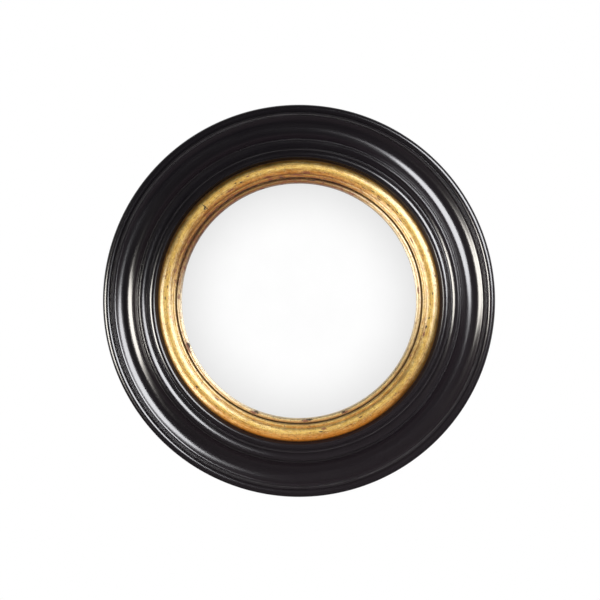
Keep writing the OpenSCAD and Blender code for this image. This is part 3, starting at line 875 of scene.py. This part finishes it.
PAINT_DARK = (0.16, 0.18, 0.19)
PAINT_PALE = (0.24, 0.26, 0.27)


def build_mirror_back():
    material, tree = new_material("mirror_back_paint")
    at = Turned(tree)
    brushed = at.streaks(90, 4.0)
    colour = blend(tree, ramp(tree, brushed, 0.35, 0.65), PAINT_DARK, PAINT_PALE)
    bump = raised(tree, brushed, 0.3, 0.1)
    return finished(material, {
        "Base Color": colour,
        "Roughness": ramp(tree, at.noise(15), 0.3, 0.7, 0.45, 0.6),
        "Normal": bump,
    })


silvering = build_silvering()
mirror_back = build_mirror_back()

# %% [markdown]
# The glass is a thin bowed disc. Its front and its back are arcs about the same centre, drawn
# as rings close enough to show no facets in what the mirror shows.

# %% Turn the glass
BOW_R = 1200.0
GLASS_R = 155.0
GLASS_T = 3.0
GLASS_EDGE = 34.6
GLASS_RINGS = 60
RINGS_PER_BACK_RING = 3


def bow_level(radius, depth=0.0):
    """Height above the wall of the glass's front, or of a surface at a depth behind it."""
    centre = GLASS_EDGE - math.sqrt(BOW_R ** 2 - SIGHT_R ** 2)
    return centre + math.sqrt((BOW_R - depth) ** 2 - radius ** 2)


def glass_section():
    """The outline from the middle of the front outwards and back, and where the paint starts."""
    radii = [GLASS_R * i / GLASS_RINGS for i in range(GLASS_RINGS + 1)]
    points = [(r, bow_level(r), 0.0) for r in radii]
    points[-1] = (GLASS_R, bow_level(GLASS_R), 0.4)
    behind = [(r, bow_level(r, GLASS_T), 0.0) for r in radii[::RINGS_PER_BACK_RING]]
    behind[-1] = (GLASS_R, bow_level(GLASS_R, GLASS_T), 0.4)
    return points + behind[::-1], len(points)


outline, bare_from = glass_section()
glass = turn_piece("convex_glass", outline, silvering, mirror_back, segments=256, bare_from=bare_from)
settle(glass, "frame", "mirror_glass", "mirror_glass")

# %% [markdown]
# ## The ring behind
# A flat ring glued to the back stands the frame off the wall and makes room for the hardware. It
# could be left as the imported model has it, but its edges are sanded on the real one, and the
# turning tree does that for every corner.

# %% Turn the rear ring
REAR_IN_R = 230.0
REAR_OUT_R = 240.5
REAR_CHAMFER = 1.0


def rear_section():
    """A flat ring with a chamfer at its outer back edge."""
    points = corner(REAR_IN_R, 0.0, 0.5) + corner(REAR_IN_R, BACK, 0.3) + corner(REAR_OUT_R, BACK, 0.3)
    return points + corner(REAR_OUT_R, REAR_CHAMFER, 0.3) + corner(REAR_OUT_R - REAR_CHAMFER, 0.0, 0.3)


rear_ring = turn_piece("stand_off_ring", rear_section(), stain, segments=256)
settle(rear_ring, "frame", "black_stain", "rear_ring")

# %% [markdown]
# ## What holds the glass
# A thin foam tape beds the glass against the lip, a roll of card fills the space behind it, and
# a hardboard closes the back. Foam is a mass of cells, card has fibres and flutes, and hardboard
# is pressed from fibre with dark chips in it, so each gets a pattern and not one flat colour.

# %% Foam, card and hardboard
FOAM_PORE = (0.012, 0.012, 0.012)
FOAM_WALL = (0.055, 0.055, 0.055)
FOAM_CELL = 0.5


def build_foam():
    material, tree = new_material("foam_tape")
    at = Turned(tree)
    wall = at.cells(FOAM_CELL)["Distance"]
    colour = blend(tree, wall, FOAM_PORE, FOAM_WALL)
    bump = raised(tree, wall, 1.0, 0.15)
    return finished(material, {
        "Base Color": colour,
        "Normal": bump,
        "Roughness": 0.9,
    })


CARD_DARK = (0.34, 0.22, 0.12)
CARD_PALE = (0.46, 0.32, 0.19)
FLUTE_SHADE = (0.22, 0.14, 0.07)
FLUTES = 300


def build_card():
    material, tree = new_material("card_packing")
    at = Turned(tree)
    fibre = at.streaks(6, 0.5)
    flute = calc(tree, "SINE", calc(tree, "MULTIPLY", at.angle, math.radians(FLUTES)))
    colour = blend(tree, ramp(tree, fibre, 0.3, 0.7), CARD_DARK, CARD_PALE)
    colour = blend(tree, ramp(tree, flute, -1.0, 1.0, 0.0, 0.25), colour, FLUTE_SHADE)
    height = calc(tree, "ADD", fibre, flute)
    bump = raised(tree, height, 0.5, 0.2)
    return finished(material, {
        "Base Color": colour,
        "Normal": bump,
        "Roughness": 0.85,
    })


BOARD_DARK = (0.155, 0.078, 0.036)
BOARD_PALE = (0.20, 0.105, 0.050)
BOARD_FIBRE = (0.30, 0.175, 0.09)
BOARD_CHIP = (0.055, 0.026, 0.013)
CHIP_SIZE = 2.2


def build_hardboard():
    material, tree = new_material("hardboard")
    at = Turned(tree)
    fibre = at.noise(1.1, detail=5.0, roughness=0.7)
    chips = at.cells(CHIP_SIZE)["Distance"]
    patch = at.noise(70, detail=2.0, shift=3.0)
    colour = blend(tree, ramp(tree, patch, 0.3, 0.7), BOARD_DARK, BOARD_PALE)
    colour = blend(tree, ramp(tree, fibre, 0.52, 0.72, 0.0, 0.8), colour, BOARD_FIBRE)
    chip = ramp(tree, chips, 0.0, 0.22, 0.75, 0.0)
    dark = calc(tree, "MULTIPLY", chip, ramp(tree, fibre, 0.4, 0.55))
    colour = blend(tree, dark, colour, BOARD_CHIP)
    bump = raised(tree, fibre, 0.25, 0.12)
    return finished(material, {
        "Base Color": colour,
        "Roughness": ramp(tree, patch, 0.3, 0.7, 0.42, 0.55),
        "Normal": bump,
    })


foam = build_foam()
card = build_card()
hardboard = build_hardboard()

# %% [markdown]
# The tape and the board are plain turned shapes. The card is wound in four layers, so its
# section gets a small step at each layer. Only the board shows once the mirror is closed.

# %% Turn the tape, the packing and the board
TAPE_IN_R = 150.6
PACKING_IN_R = 142.0
CARD_LAYERS = 4
LAYER_GAP = 0.1
LAYER_STEP = 1.2
SOFT_GAP = 0.05
BOARD_R = 186.0


def tape_section():
    """A strip between the lip and the glass."""
    points = corner(TAPE_IN_R, bow_level(TAPE_IN_R) + SOFT_GAP, 0.1)
    points += land(TAPE_IN_R, GLASS_R, LIP_UNDER, 0.1)
    return points + corner(GLASS_R, bow_level(GLASS_R) + SOFT_GAP, 0.1)


def packing_section():
    """Four wound layers, each rounded over where it meets the glass."""
    layer = (GLASS_R - PACKING_IN_R) / CARD_LAYERS
    points = corner(PACKING_IN_R, BOARD, 0.2)
    for i in range(CARD_LAYERS):
        inner = PACKING_IN_R + i * layer
        outer = PACKING_IN_R + (i + 1) * layer
        top = bow_level(outer, GLASS_T) - SOFT_GAP
        points += land(inner + LAYER_GAP, outer - LAYER_GAP, top, 0.4) + corner(outer, top - LAYER_STEP, 0.1)
    return points + corner(GLASS_R, BOARD, 0.2)


def board_section():
    """A disc with soft edges."""
    return land(0.0, BOARD_R, BOARD, 0.0, 0.3) + land(BOARD_R, 0.0, BACK, 0.5, 0.0)


tape = turn_piece("foam_strip", tape_section(), foam, segments=192)
settle(tape, "frame", "foam_tape", "glass_tape")
packing = turn_piece("card_roll", packing_section(), card, segments=192)
settle(packing, "frame", "card_packing", "packing_ring")
board = turn_piece("closing_board", board_section(), hardboard, segments=256)
settle(board, "frame", "hardboard", "back_board")

# %% [markdown]
# ## Plated steel
# The turn buttons, the strap and the hanging ring are zinc-plated: a grey metal with faint
# crystals and fine scratches. The screws have a yellow passivated plating, which shifts
# slightly in colour from place to place. One grey metal would do at a distance, but the two
# platings are what tells a screw from a button.

# %% Two platings
ZINC_DARK = (0.50, 0.51, 0.52)
ZINC_PALE = (0.64, 0.65, 0.66)
ZINC_STAIN = (0.33, 0.33, 0.32)
SCRATCH_TURN = (0.3, 0.9, 0.2)
SCRATCH_SCALE = (4000, 4000, 250)
CRYSTAL = 1.6


def build_zinc():
    material, tree = new_material("zinc_steel")
    at = Turned(tree)
    grey = put(tree, "ShaderNodeSeparateColor", {0: at.cells(CRYSTAL)["Color"]}).outputs[0]
    scratched = put(tree, "ShaderNodeMapping", {
        "Vector": at.place, "Rotation": SCRATCH_TURN, "Scale": SCRATCH_SCALE,
    })
    scratch = put(tree, "ShaderNodeTexNoise", {"Vector": scratched.outputs[0], "Scale": 1.0}).outputs[0]
    colour = blend(tree, ramp(tree, grey, 0.0, 1.0), ZINC_DARK, ZINC_PALE)
    colour = blend(tree, ramp(tree, at.noise(5), 0.60, 0.75, 0.0, 0.5), colour, ZINC_STAIN)
    rough = calc(tree, "ADD", ramp(tree, grey, 0.0, 1.0, 0.30, 0.42), calc(tree, "MULTIPLY", scratch, 0.1))
    bump = raised(tree, scratch, 0.2, 0.03)
    return finished(material, {
        "Base Color": colour,
        "Roughness": rough,
        "Normal": bump,
        "Metallic": 1.0,
    })


YELLOW = (0.74, 0.60, 0.32)
YELLOW_GREEN = (0.66, 0.62, 0.40)
PINK = (0.60, 0.42, 0.36)


def build_passivated():
    material, tree = new_material("screw_steel")
    at = Turned(tree)
    tint = at.noise(2.4, detail=2.0)
    colour = blend(tree, ramp(tree, tint, 0.35, 0.65), YELLOW, YELLOW_GREEN)
    colour = blend(tree, ramp(tree, at.noise(1.3, shift=5.0), 0.58, 0.72, 0.0, 0.5), colour, PINK)
    bump = raised(tree, at.noise(0.4), 0.15, 0.05)
    return finished(material, {
        "Base Color": colour,
        "Roughness": ramp(tree, tint, 0.3, 0.7, 0.26, 0.38),
        "Normal": bump,
        "Metallic": 1.0,
    })


zinc = build_zinc()
passivated = build_passivated()

# %% [markdown]
# ## Turn buttons and strap
# These are punched from sheet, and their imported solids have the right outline, but a punch
# leaves rounded edges that catch the light. They could be drawn again, but a copy of each packed
# mesh is enough: it is welded, its flat faces are joined up, and a narrow bevel rounds its edges.

# %% Soften the punched pieces
BUTTONS = 6
BUTTON_EDGE = 0.3
STRAP_EDGE = 0.2
COPY_WELD = 0.002


def soften(node, name, edge, material):
    """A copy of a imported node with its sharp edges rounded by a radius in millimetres."""
    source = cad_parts[node]
    shape = bmesh.new()
    shape.from_mesh(source.data)
    shape.transform(source.matrix_world)
    bmesh.ops.remove_doubles(shape, verts=shape.verts, dist=COPY_WELD * MM)
    bmesh.ops.dissolve_limit(shape, angle_limit=math.radians(1), verts=shape.verts, edges=shape.edges)
    mesh = bpy.data.meshes.new(name)
    shape.to_mesh(mesh)
    shape.free()
    mesh.materials.clear()
    mesh.materials.append(material)
    mesh.shade_smooth()
    piece = bpy.data.objects.new(name, mesh)
    collection.objects.link(piece)
    bevel = piece.modifiers.new("edge", "BEVEL")
    bevel.width = edge * MM
    bevel.segments = 3
    bevel.limit_method = "ANGLE"
    bevel.angle_limit = math.radians(35)
    bevel.harden_normals = True
    return plain(piece)


for number in range(1, BUTTONS + 1):
    plate = soften(f"turn_button_{number}", f"button_plate_{number}", BUTTON_EDGE, zinc)
    settle(plate, f"turn_button_{number}", "zinc_steel", f"turn_button_{number}")
strap = soften("hanger_strap", "hanger_strip", STRAP_EDGE, zinc)
settle(strap, "frame", "zinc_steel", "hanger_strap")

# %% [markdown]
# ## Screws
# Eight screws go in from behind: six hold the turn buttons and two the strap. Each has a pan
# head with a cross, and a thread. They could be placed by hand, but one tree cuts the cross,
# winds the thread and puts a copy at each seat, turned by a chance angle, because nobody lines
# up the crosses of hidden screws. The blank, without cross and thread, is turned first.

# %% The blank of a screw
HEAD_R = 3.2
HEAD_H = 1.9
HEAD_EDGE = 0.7
CORE_R = 1.2
TIP_R = 0.15
POINT_L = 3.5
SCREW_L = 16.0


def screw_blank():
    """The head and core of a screw, with its seat at the origin and its tip towards the front."""
    rise = HEAD_H - HEAD_EDGE
    dome_r = (HEAD_R ** 2 + rise ** 2) / (2 * rise)
    lean = math.degrees(math.asin(HEAD_R / dome_r))
    points = corner(0.0, SCREW_L) + corner(TIP_R, SCREW_L, 0.0) + corner(CORE_R, SCREW_L - POINT_L, 0.3)
    points += land(CORE_R, HEAD_R, 0.0, 0.2, 0.15)
    points += arc((0.0, dome_r - HEAD_H), dome_r, lean - 90, -90, 10)
    blank = turn_piece("screw_blank", points, passivated, segments=40)
    mesh = blank.data
    bpy.data.objects.remove(blank)
    return mesh


print("screws are", SCREW_L, "mm long under the head")

# %% [markdown]
# The cross is cut by two crossed boxes, and the thread is a ridge wound round the core. Both
# are made once, before the screw is copied to its places.

# %% The screw tree
def cut_cross(tree, value):
    """Cuts two crossed slots into the head, and returns the mesh."""
    deep = calc(tree, "MULTIPLY", value["Cross depth"], 2.0)
    arms = []
    for across, along in (("Cross length", "Cross width"), ("Cross width", "Cross length")):
        box = put(tree, "ShaderNodeCombineXYZ", {0: value[across], 1: deep, 2: value[along]})
        arm = put(tree, "GeometryNodeMeshCube", {"Size": box.outputs[0]})
        lift = put(tree, "ShaderNodeCombineXYZ", {1: value["Head height"]})
        arms.append(put(tree, "GeometryNodeTransform", {
            "Geometry": arm.outputs[0], "Translation": lift.outputs[0],
        }))
    cut = put(tree, "GeometryNodeMeshBoolean", {"Mesh 1": value["Geometry"]},
              operation="DIFFERENCE", solver="EXACT")
    for arm in arms:
        fill(tree, cut, {"Mesh 2": arm.outputs[0]})
    return cut.outputs[0]


def wind_thread(tree, value):
    """Winds a ridge round the core, and lays it along the screw."""
    wind = put(tree, "GeometryNodeCurveSpiral", {
        "Resolution": 24, "Rotations": value["Turns"], "Start Radius": value["Thread radius"],
        "End Radius": value["Thread radius"], "Height": value["Thread length"],
    })
    ridge = put(tree, "GeometryNodeCurvePrimitiveCircle", {"Resolution": 3, "Radius": value["Ridge radius"]})
    thread = put(tree, "GeometryNodeCurveToMesh", {
        "Curve": wind.outputs[0], "Profile Curve": ridge.outputs[0], "Fill Caps": True,
    })
    first = put(tree, "ShaderNodeCombineXYZ", {1: value["Thread start"]})
    lain = put(tree, "GeometryNodeTransform", {
        "Geometry": thread.outputs[0], "Rotation": (math.radians(90), 0, 0), "Translation": first.outputs[0],
    })
    return lain.outputs[0]


def build_screw_tree(name, places):
    """Makes one screw and puts a copy of it at each of the given places."""
    tree, start, end = new_tree(name, [
        ("Cross length", "Float"), ("Cross width", "Float"), ("Cross depth", "Float"),
        ("Head height", "Float"), ("Thread radius", "Float"), ("Thread length", "Float"),
        ("Thread start", "Float"), ("Ridge radius", "Float"), ("Turns", "Float"), ("Seed", "Int"),
        ("Material", "Material"),
    ])
    value = start.outputs
    parts = [cut_cross(tree, value), wind_thread(tree, value)]
    screw = put(tree, "GeometryNodeJoinGeometry")
    for part in parts:
        fill(tree, screw, {0: part})
    chance = put(tree, "FunctionNodeRandomValue", {
        "Min": (0, 0, 0), "Max": (0, math.pi / 2, 0), "Seed": value["Seed"],
    }, data_type="FLOAT_VECTOR")
    placed = put(tree, "GeometryNodeInstanceOnPoints", {
        "Points": places(tree), "Instance": screw.outputs[0], "Rotation": chance.outputs[0],
    })
    real = put(tree, "GeometryNodeRealizeInstances", {"Geometry": placed.outputs[0]})
    angle = put(tree, "GeometryNodeInputMeshEdgeAngle")
    sharp = calc(tree, "GREATER_THAN", angle.outputs[0], math.radians(30))
    smooth = put(tree, "GeometryNodeSetShadeSmooth", {"Geometry": real.outputs[0], "Shade Smooth": True})
    keen = put(tree, "GeometryNodeSetShadeSmooth", {
        "Geometry": smooth.outputs[0], "Selection": sharp, "Shade Smooth": False,
    }, domain="EDGE")
    plated = put(tree, "GeometryNodeSetMaterial", {
        "Geometry": keen.outputs[0], "Material": value["Material"],
    })
    fill(tree, end, {0: plated.outputs[0]})
    return tree


print("screw tree is ready")

# %% [markdown]
# Six places on a circle are a mesh circle with six points, and two in a row are a mesh line. The
# sizes of the screw are the same at both.

# %% Place the screws
BUTTON_R = 194.0
BUTTON_SEAT = 6.2
STRAP_SCREWS = 2
STRAP_SCREW_Z = 192.5
STRAP_SCREW_PITCH = 9.0
STRAP_SEAT = 6.0
SCREW_SIZES = {
    "Cross length": 3.8 * MM, "Cross width": 0.8 * MM, "Cross depth": 1.1 * MM,
    "Head height": HEAD_H * MM, "Thread radius": CORE_R * MM, "Thread length": 12.0 * MM,
    "Thread start": -1.2 * MM, "Ridge radius": 0.5 * MM, "Turns": 9.0,
}


def round_the_board(tree):
    """One place at each turn button."""
    ring = put(tree, "GeometryNodeMeshCircle", {"Vertices": BUTTONS, "Radius": BUTTON_R * MM})
    return put(tree, "GeometryNodeTransform", {
        "Geometry": ring.outputs[0], "Rotation": (math.radians(90), 0, 0),
        "Translation": (0, -BUTTON_SEAT * MM, 0),
    }).outputs[0]


def up_the_strap(tree):
    """The two places on the strap."""
    return put(tree, "GeometryNodeMeshLine", {
        "Count": STRAP_SCREWS, "Start Location": (0, -STRAP_SEAT * MM, STRAP_SCREW_Z * MM),
        "Offset": (0, 0, STRAP_SCREW_PITCH * MM),
    }).outputs[0]


for name, node, places, seed in (("button_screws", "turn_button_screws", round_the_board, 3),
                                 ("strap_screws", "hanger_screws", up_the_strap, 8)):
    values = {**SCREW_SIZES, "Seed": seed, "Material": passivated}
    screws = run_tree(name, screw_blank(), build_screw_tree(name, places), values)
    settle(screws, "frame", "screw_steel", node)

# %% [markdown]
# ## The hanging ring
# The ring is one wire bent into a D. Its middle line is a rectangle with two tight corners at
# the bar and two wide ones at the top. It could be drawn as a curve with handles, but four
# points and a fillet at each describe it. The tree fillets them, sweeps the round wire along,
# and leans the ring on the frame.

# %% Bend the ring
EYE_LEVEL = 5.67
EYE_Z = 210.5
RING_ROUND = 8.0
RING_BEND = 2.5
RING_LEG = 1.5
BEND_PLAY = 0.01
WIRE_R = 1.25
RING_LEAN = 4.06


def build_wire_tree():
    """Bends a line of corners, and makes it a round wire that leans at the eye."""
    tree, start, end = new_tree("bent wire", [
        ("Wire radius", "Float"), ("Bend steps", "Int"), ("Lean", "Float"), ("Material", "Material"),
    ])
    value = start.outputs
    bend = put(tree, "GeometryNodeInputNamedAttribute", {"Name": "soft_edge"}, data_type="FLOAT")
    line = put(tree, "GeometryNodeMeshToCurve", {"Mesh": value["Geometry"]})
    bent = put(tree, "GeometryNodeFilletCurve", {
        "Curve": line.outputs[0], "Count": value["Bend steps"],
        "Radius": bend.outputs[0], "Limit Radius": True,
    }, mode="POLY")
    wire = put(tree, "GeometryNodeCurvePrimitiveCircle", {"Resolution": 24, "Radius": value["Wire radius"]})
    swept = put(tree, "GeometryNodeCurveToMesh", {
        "Curve": bent.outputs[0], "Profile Curve": wire.outputs[0],
    })
    turn = put(tree, "ShaderNodeCombineXYZ", {0: value["Lean"]})
    leant = put(tree, "GeometryNodeTransform", {
        "Geometry": swept.outputs[0], "Rotation": turn.outputs[0],
        "Translation": (0, -EYE_LEVEL * MM, EYE_Z * MM),
    })
    smooth = put(tree, "GeometryNodeSetShadeSmooth", {"Geometry": leant.outputs[0]})
    real = put(tree, "GeometryNodeRealizeInstances", {"Geometry": smooth.outputs[0]})
    plated = put(tree, "GeometryNodeSetMaterial", {
        "Geometry": real.outputs[0], "Material": value["Material"],
    })
    fill(tree, end, {0: plated.outputs[0]})
    return tree


def ring_line():
    """The corners of the ring's middle line, with the radius of the bend at each."""
    top = RING_BEND + RING_LEG + RING_ROUND
    wide = RING_ROUND - BEND_PLAY
    corners = [(-RING_ROUND, 0, RING_BEND), (RING_ROUND, 0, RING_BEND),
               (RING_ROUND, top, wide), (-RING_ROUND, top, wide)]
    line = bpy.data.meshes.new("ring_line")
    line.from_pydata([(x * MM, 0, z * MM) for x, z, _ in corners], [(0, 1), (1, 2), (2, 3), (3, 0)], [])
    bends = line.attributes.new("soft_edge", "FLOAT", "POINT")
    bends.data.foreach_set("value", [bend * MM for _, _, bend in corners])
    return line


hanging_ring = run_tree("hanging_ring", ring_line(), build_wire_tree(), {
    "Wire radius": WIRE_R * MM, "Bend steps": 14, "Lean": math.radians(RING_LEAN), "Material": zinc,
})
settle(hanging_ring, "hanger_ring", "zinc_steel", "hanger_ring")

# %% [markdown]
# ## Light
# The frame was lit by two large soft boxes in front of it, a warm one to the left and a cooler
# one to the upper right, with white all round. The world gives the plain even light. It looks
# white to the camera and in the middle of the glass, and grey towards the rim of the glass,
# where the bow mirrors what is far off to the side. The lacquer, and every other surface that
# mirrors less sharply than the glass, sees dark surroundings in front of it.

# %% The world
SEEN_IN_GLASS = (8.5, 24.0, 1.0, 0.62)
SEEN_IN_LACQUER = (75.0, 115.0, 0.09, 0.7)
EVEN_LIGHT = (0.55, 0.55, 0.56)


def grey_off_axis(tree, off_axis, ease):
    """A grey that eases with the angle off the axis: two angles, and the brightness at each."""
    grey = ramp(tree, off_axis, *ease)
    return put(tree, "ShaderNodeCombineColor", {0: grey, 1: grey, 2: grey}).outputs[0]


def build_world():
    world = bpy.data.worlds.new("studio")
    world.use_nodes = True
    tree = world.node_tree
    tree.nodes.clear()
    sky = put(tree, "ShaderNodeTexCoord").outputs["Generated"]
    toward = put(tree, "ShaderNodeVectorMath", {0: sky, 1: (0, -1, 0)}, operation="DOT_PRODUCT")
    off_axis = calc(tree, "DEGREES", calc(tree, "ARCCOSINE", toward.outputs["Value"]))
    in_glass = grey_off_axis(tree, off_axis, SEEN_IN_GLASS)
    in_lacquer = grey_off_axis(tree, off_axis, SEEN_IN_LACQUER)
    rays = put(tree, "ShaderNodeLightPath").outputs
    lit = blend(tree, rays["Is Glossy Ray"], EVEN_LIGHT, in_lacquer)
    mirrored = calc(tree, "MAXIMUM", rays["Is Singular Ray"], rays["Is Transmission Ray"])
    lit = blend(tree, mirrored, lit, in_glass)
    colour = blend(tree, rays["Is Camera Ray"], lit, (1.0, 1.0, 1.0))
    background = put(tree, "ShaderNodeBackground", {"Color": colour, "Strength": 1.0})
    put(tree, "ShaderNodeOutputWorld", {0: background.outputs[0]})
    scene.world = world


build_world()
print("world: white to the camera")

# %% [markdown]
# One pair of lamps could light everything, but gilding and lacquer each show a lamp in their own
# way: lacquer as a dim stripe, gilding as a broad glow. So light linking gives each of them
# lamps of its own, as a photographer does with flags. The moulding casts no shadow from the
# lamps for the gilding, and two tinted cards are there only for the gilding to mirror. The cool
# lamp for the lacquer is round and further off, because its stripes fade out at both ends. A
# weak lamp above and behind shows the back.

# %% A lamp
def direction(azimuth, polar):
    """Unit vector at an angle round the mirror's axis, and at an angle off that axis."""
    a, p = math.radians(azimuth), math.radians(polar)
    return Vector((math.sin(p) * math.cos(a), -math.cos(p), math.sin(p) * math.sin(a)))


def linked(name, pieces, state):
    """A collection that puts some pieces into, or leaves them out of, what a lamp works on."""
    listed = bpy.data.collections.new(name)
    for piece in pieces:
        listed.objects.link(piece)
    for entry in listed.collection_objects:
        entry.light_linking.link_state = state
    return listed


def soft_box(name, azimuth, polar, distance, across, along, radiance, colour,
             only=None, but_not=None, through=None, diffuse=True, rounded=False):
    """A lamp that faces the mirror. Its radiance is how bright its face looks."""
    data = bpy.data.lights.new(name, "AREA")
    data.shape = "ELLIPSE" if rounded else "RECTANGLE"
    data.size, data.size_y = across, along
    face = across * along * (math.pi / 4 if rounded else 1.0)
    data.energy = radiance * math.pi * face
    data.color = colour
    lamp = bpy.data.objects.new(name, data)
    away = direction(azimuth, polar)
    lamp.location = away * distance
    up = direction(azimuth, polar + 90)
    side = up.cross(away)
    lamp.rotation_euler = Matrix((side, up, away)).transposed().to_euler()
    lamp.visible_diffuse = diffuse
    lamp.visible_camera = False
    collection.objects.link(lamp)
    if only:
        lamp.light_linking.receiver_collection = linked(name + "_lights", only, "INCLUDE")
    if but_not:
        lamp.light_linking.receiver_collection = linked(name + "_skips", but_not, "EXCLUDE")
    if through:
        lamp.light_linking.blocker_collection = linked(name + "_passes", through, "EXCLUDE")
    print(f"{name}: {data.energy:.0f} W")


print("the mirror's axis points along", direction(0, 0))

# %% [markdown]
# Each lamp is given by its angle round the axis and off it in degrees, its distance, width and
# height in metres, its radiance, its colour, and what it works on.

# %% The lamps
WARM = (1.0, 0.965, 0.89)
COOL = (0.965, 0.97, 1.0)
WHITE = (1.0, 1.0, 1.0)
STRAW = (1.0, 0.77, 0.22)
BROWN = (1.0, 0.44, 0.07)
REST = {"but_not": [slip]}
GILDING = {"only": [slip], "through": [moulding]}
GILDING_MIRRORS = {**GILDING, "diffuse": False}
LACQUER = {"only": [moulding], "diffuse": False}
LAMPS = [
    ("warm_box", 190, 51, 1.9, 0.99, 0.95, 4.5, WARM, REST),
    ("cool_box", 28, 39, 1.9, 1.44, 1.18, 3.6, COOL, REST),
    ("warm_box_on_gilding", 200, 56, 1.9, 1.75, 1.22, 2.7, WARM, GILDING),
    ("cool_box_on_gilding", 28, 45, 1.9, 1.44, 1.60, 3.0, COOL, GILDING),
    ("front_card", 90, 17, 2.2, 2.2, 1.8, 0.80, STRAW, GILDING_MIRRORS),
    ("low_card", 270, 55, 1.2, 1.94, 1.62, 0.60, BROWN, GILDING_MIRRORS),
    ("warm_box_on_lacquer", 187.5, 51, 1.8, 0.68, 0.92, 24.0, WARM, LACQUER),
    ("cool_box_on_lacquer", 27.5, 41, 3.6, 2.4, 2.7, 16.0, COOL, {**LACQUER, "rounded": True}),
    ("back_box", 90, 150, 2.4, 1.6, 1.2, 1.2, WHITE, {}),
]
for *place_and_light, works_on in LAMPS:
    soft_box(*place_and_light, **works_on)

# %% [markdown]
# ## The floor
# A pale floor far below the mirror sends a little light up and holds its shadow. It is white to
# the camera, and dark in what the lacquer mirrors, so that its black stays deep.

# %% The floor
FLOOR_LEVEL = -1.5
FLOOR_HALF_WIDTH = 4.5
FLOOR_FRONT = -3.4
FLOOR_BACK = 5.0
FLOOR_PALE = (0.88, 0.88, 0.88)
FLOOR_DARK = (0.10, 0.10, 0.10)
FLOOR_GLOW = 0.42


def build_floor():
    mesh = bpy.data.meshes.new("floor")
    corners = [(-1, FLOOR_FRONT), (1, FLOOR_FRONT), (1, FLOOR_BACK), (-1, FLOOR_BACK)]
    mesh.from_pydata([(x * FLOOR_HALF_WIDTH, y, FLOOR_LEVEL) for x, y in corners], [], [(0, 1, 2, 3)])
    material, tree = new_material("floor")
    rays = put(tree, "ShaderNodeLightPath").outputs
    in_lacquer = calc(tree, "SUBTRACT", rays["Is Glossy Ray"], rays["Is Singular Ray"])
    mesh.materials.append(finished(material, {
        "Base Color": blend(tree, in_lacquer, FLOOR_PALE, FLOOR_DARK),
        "Emission Strength": calc(tree, "MULTIPLY", rays["Is Camera Ray"], FLOOR_GLOW),
        "Emission Color": (*WHITE, 1.0),
        "Roughness": 0.8,
    }))
    floor = bpy.data.objects.new("floor", mesh)
    collection.objects.link(floor)


build_floor()

# %% [markdown]
# ## Colour management
# The picture is shown as it is rendered, without a film look, so that a colour comes out as it was written.

# %% Colour management
scene.view_settings.view_transform = "Standard"
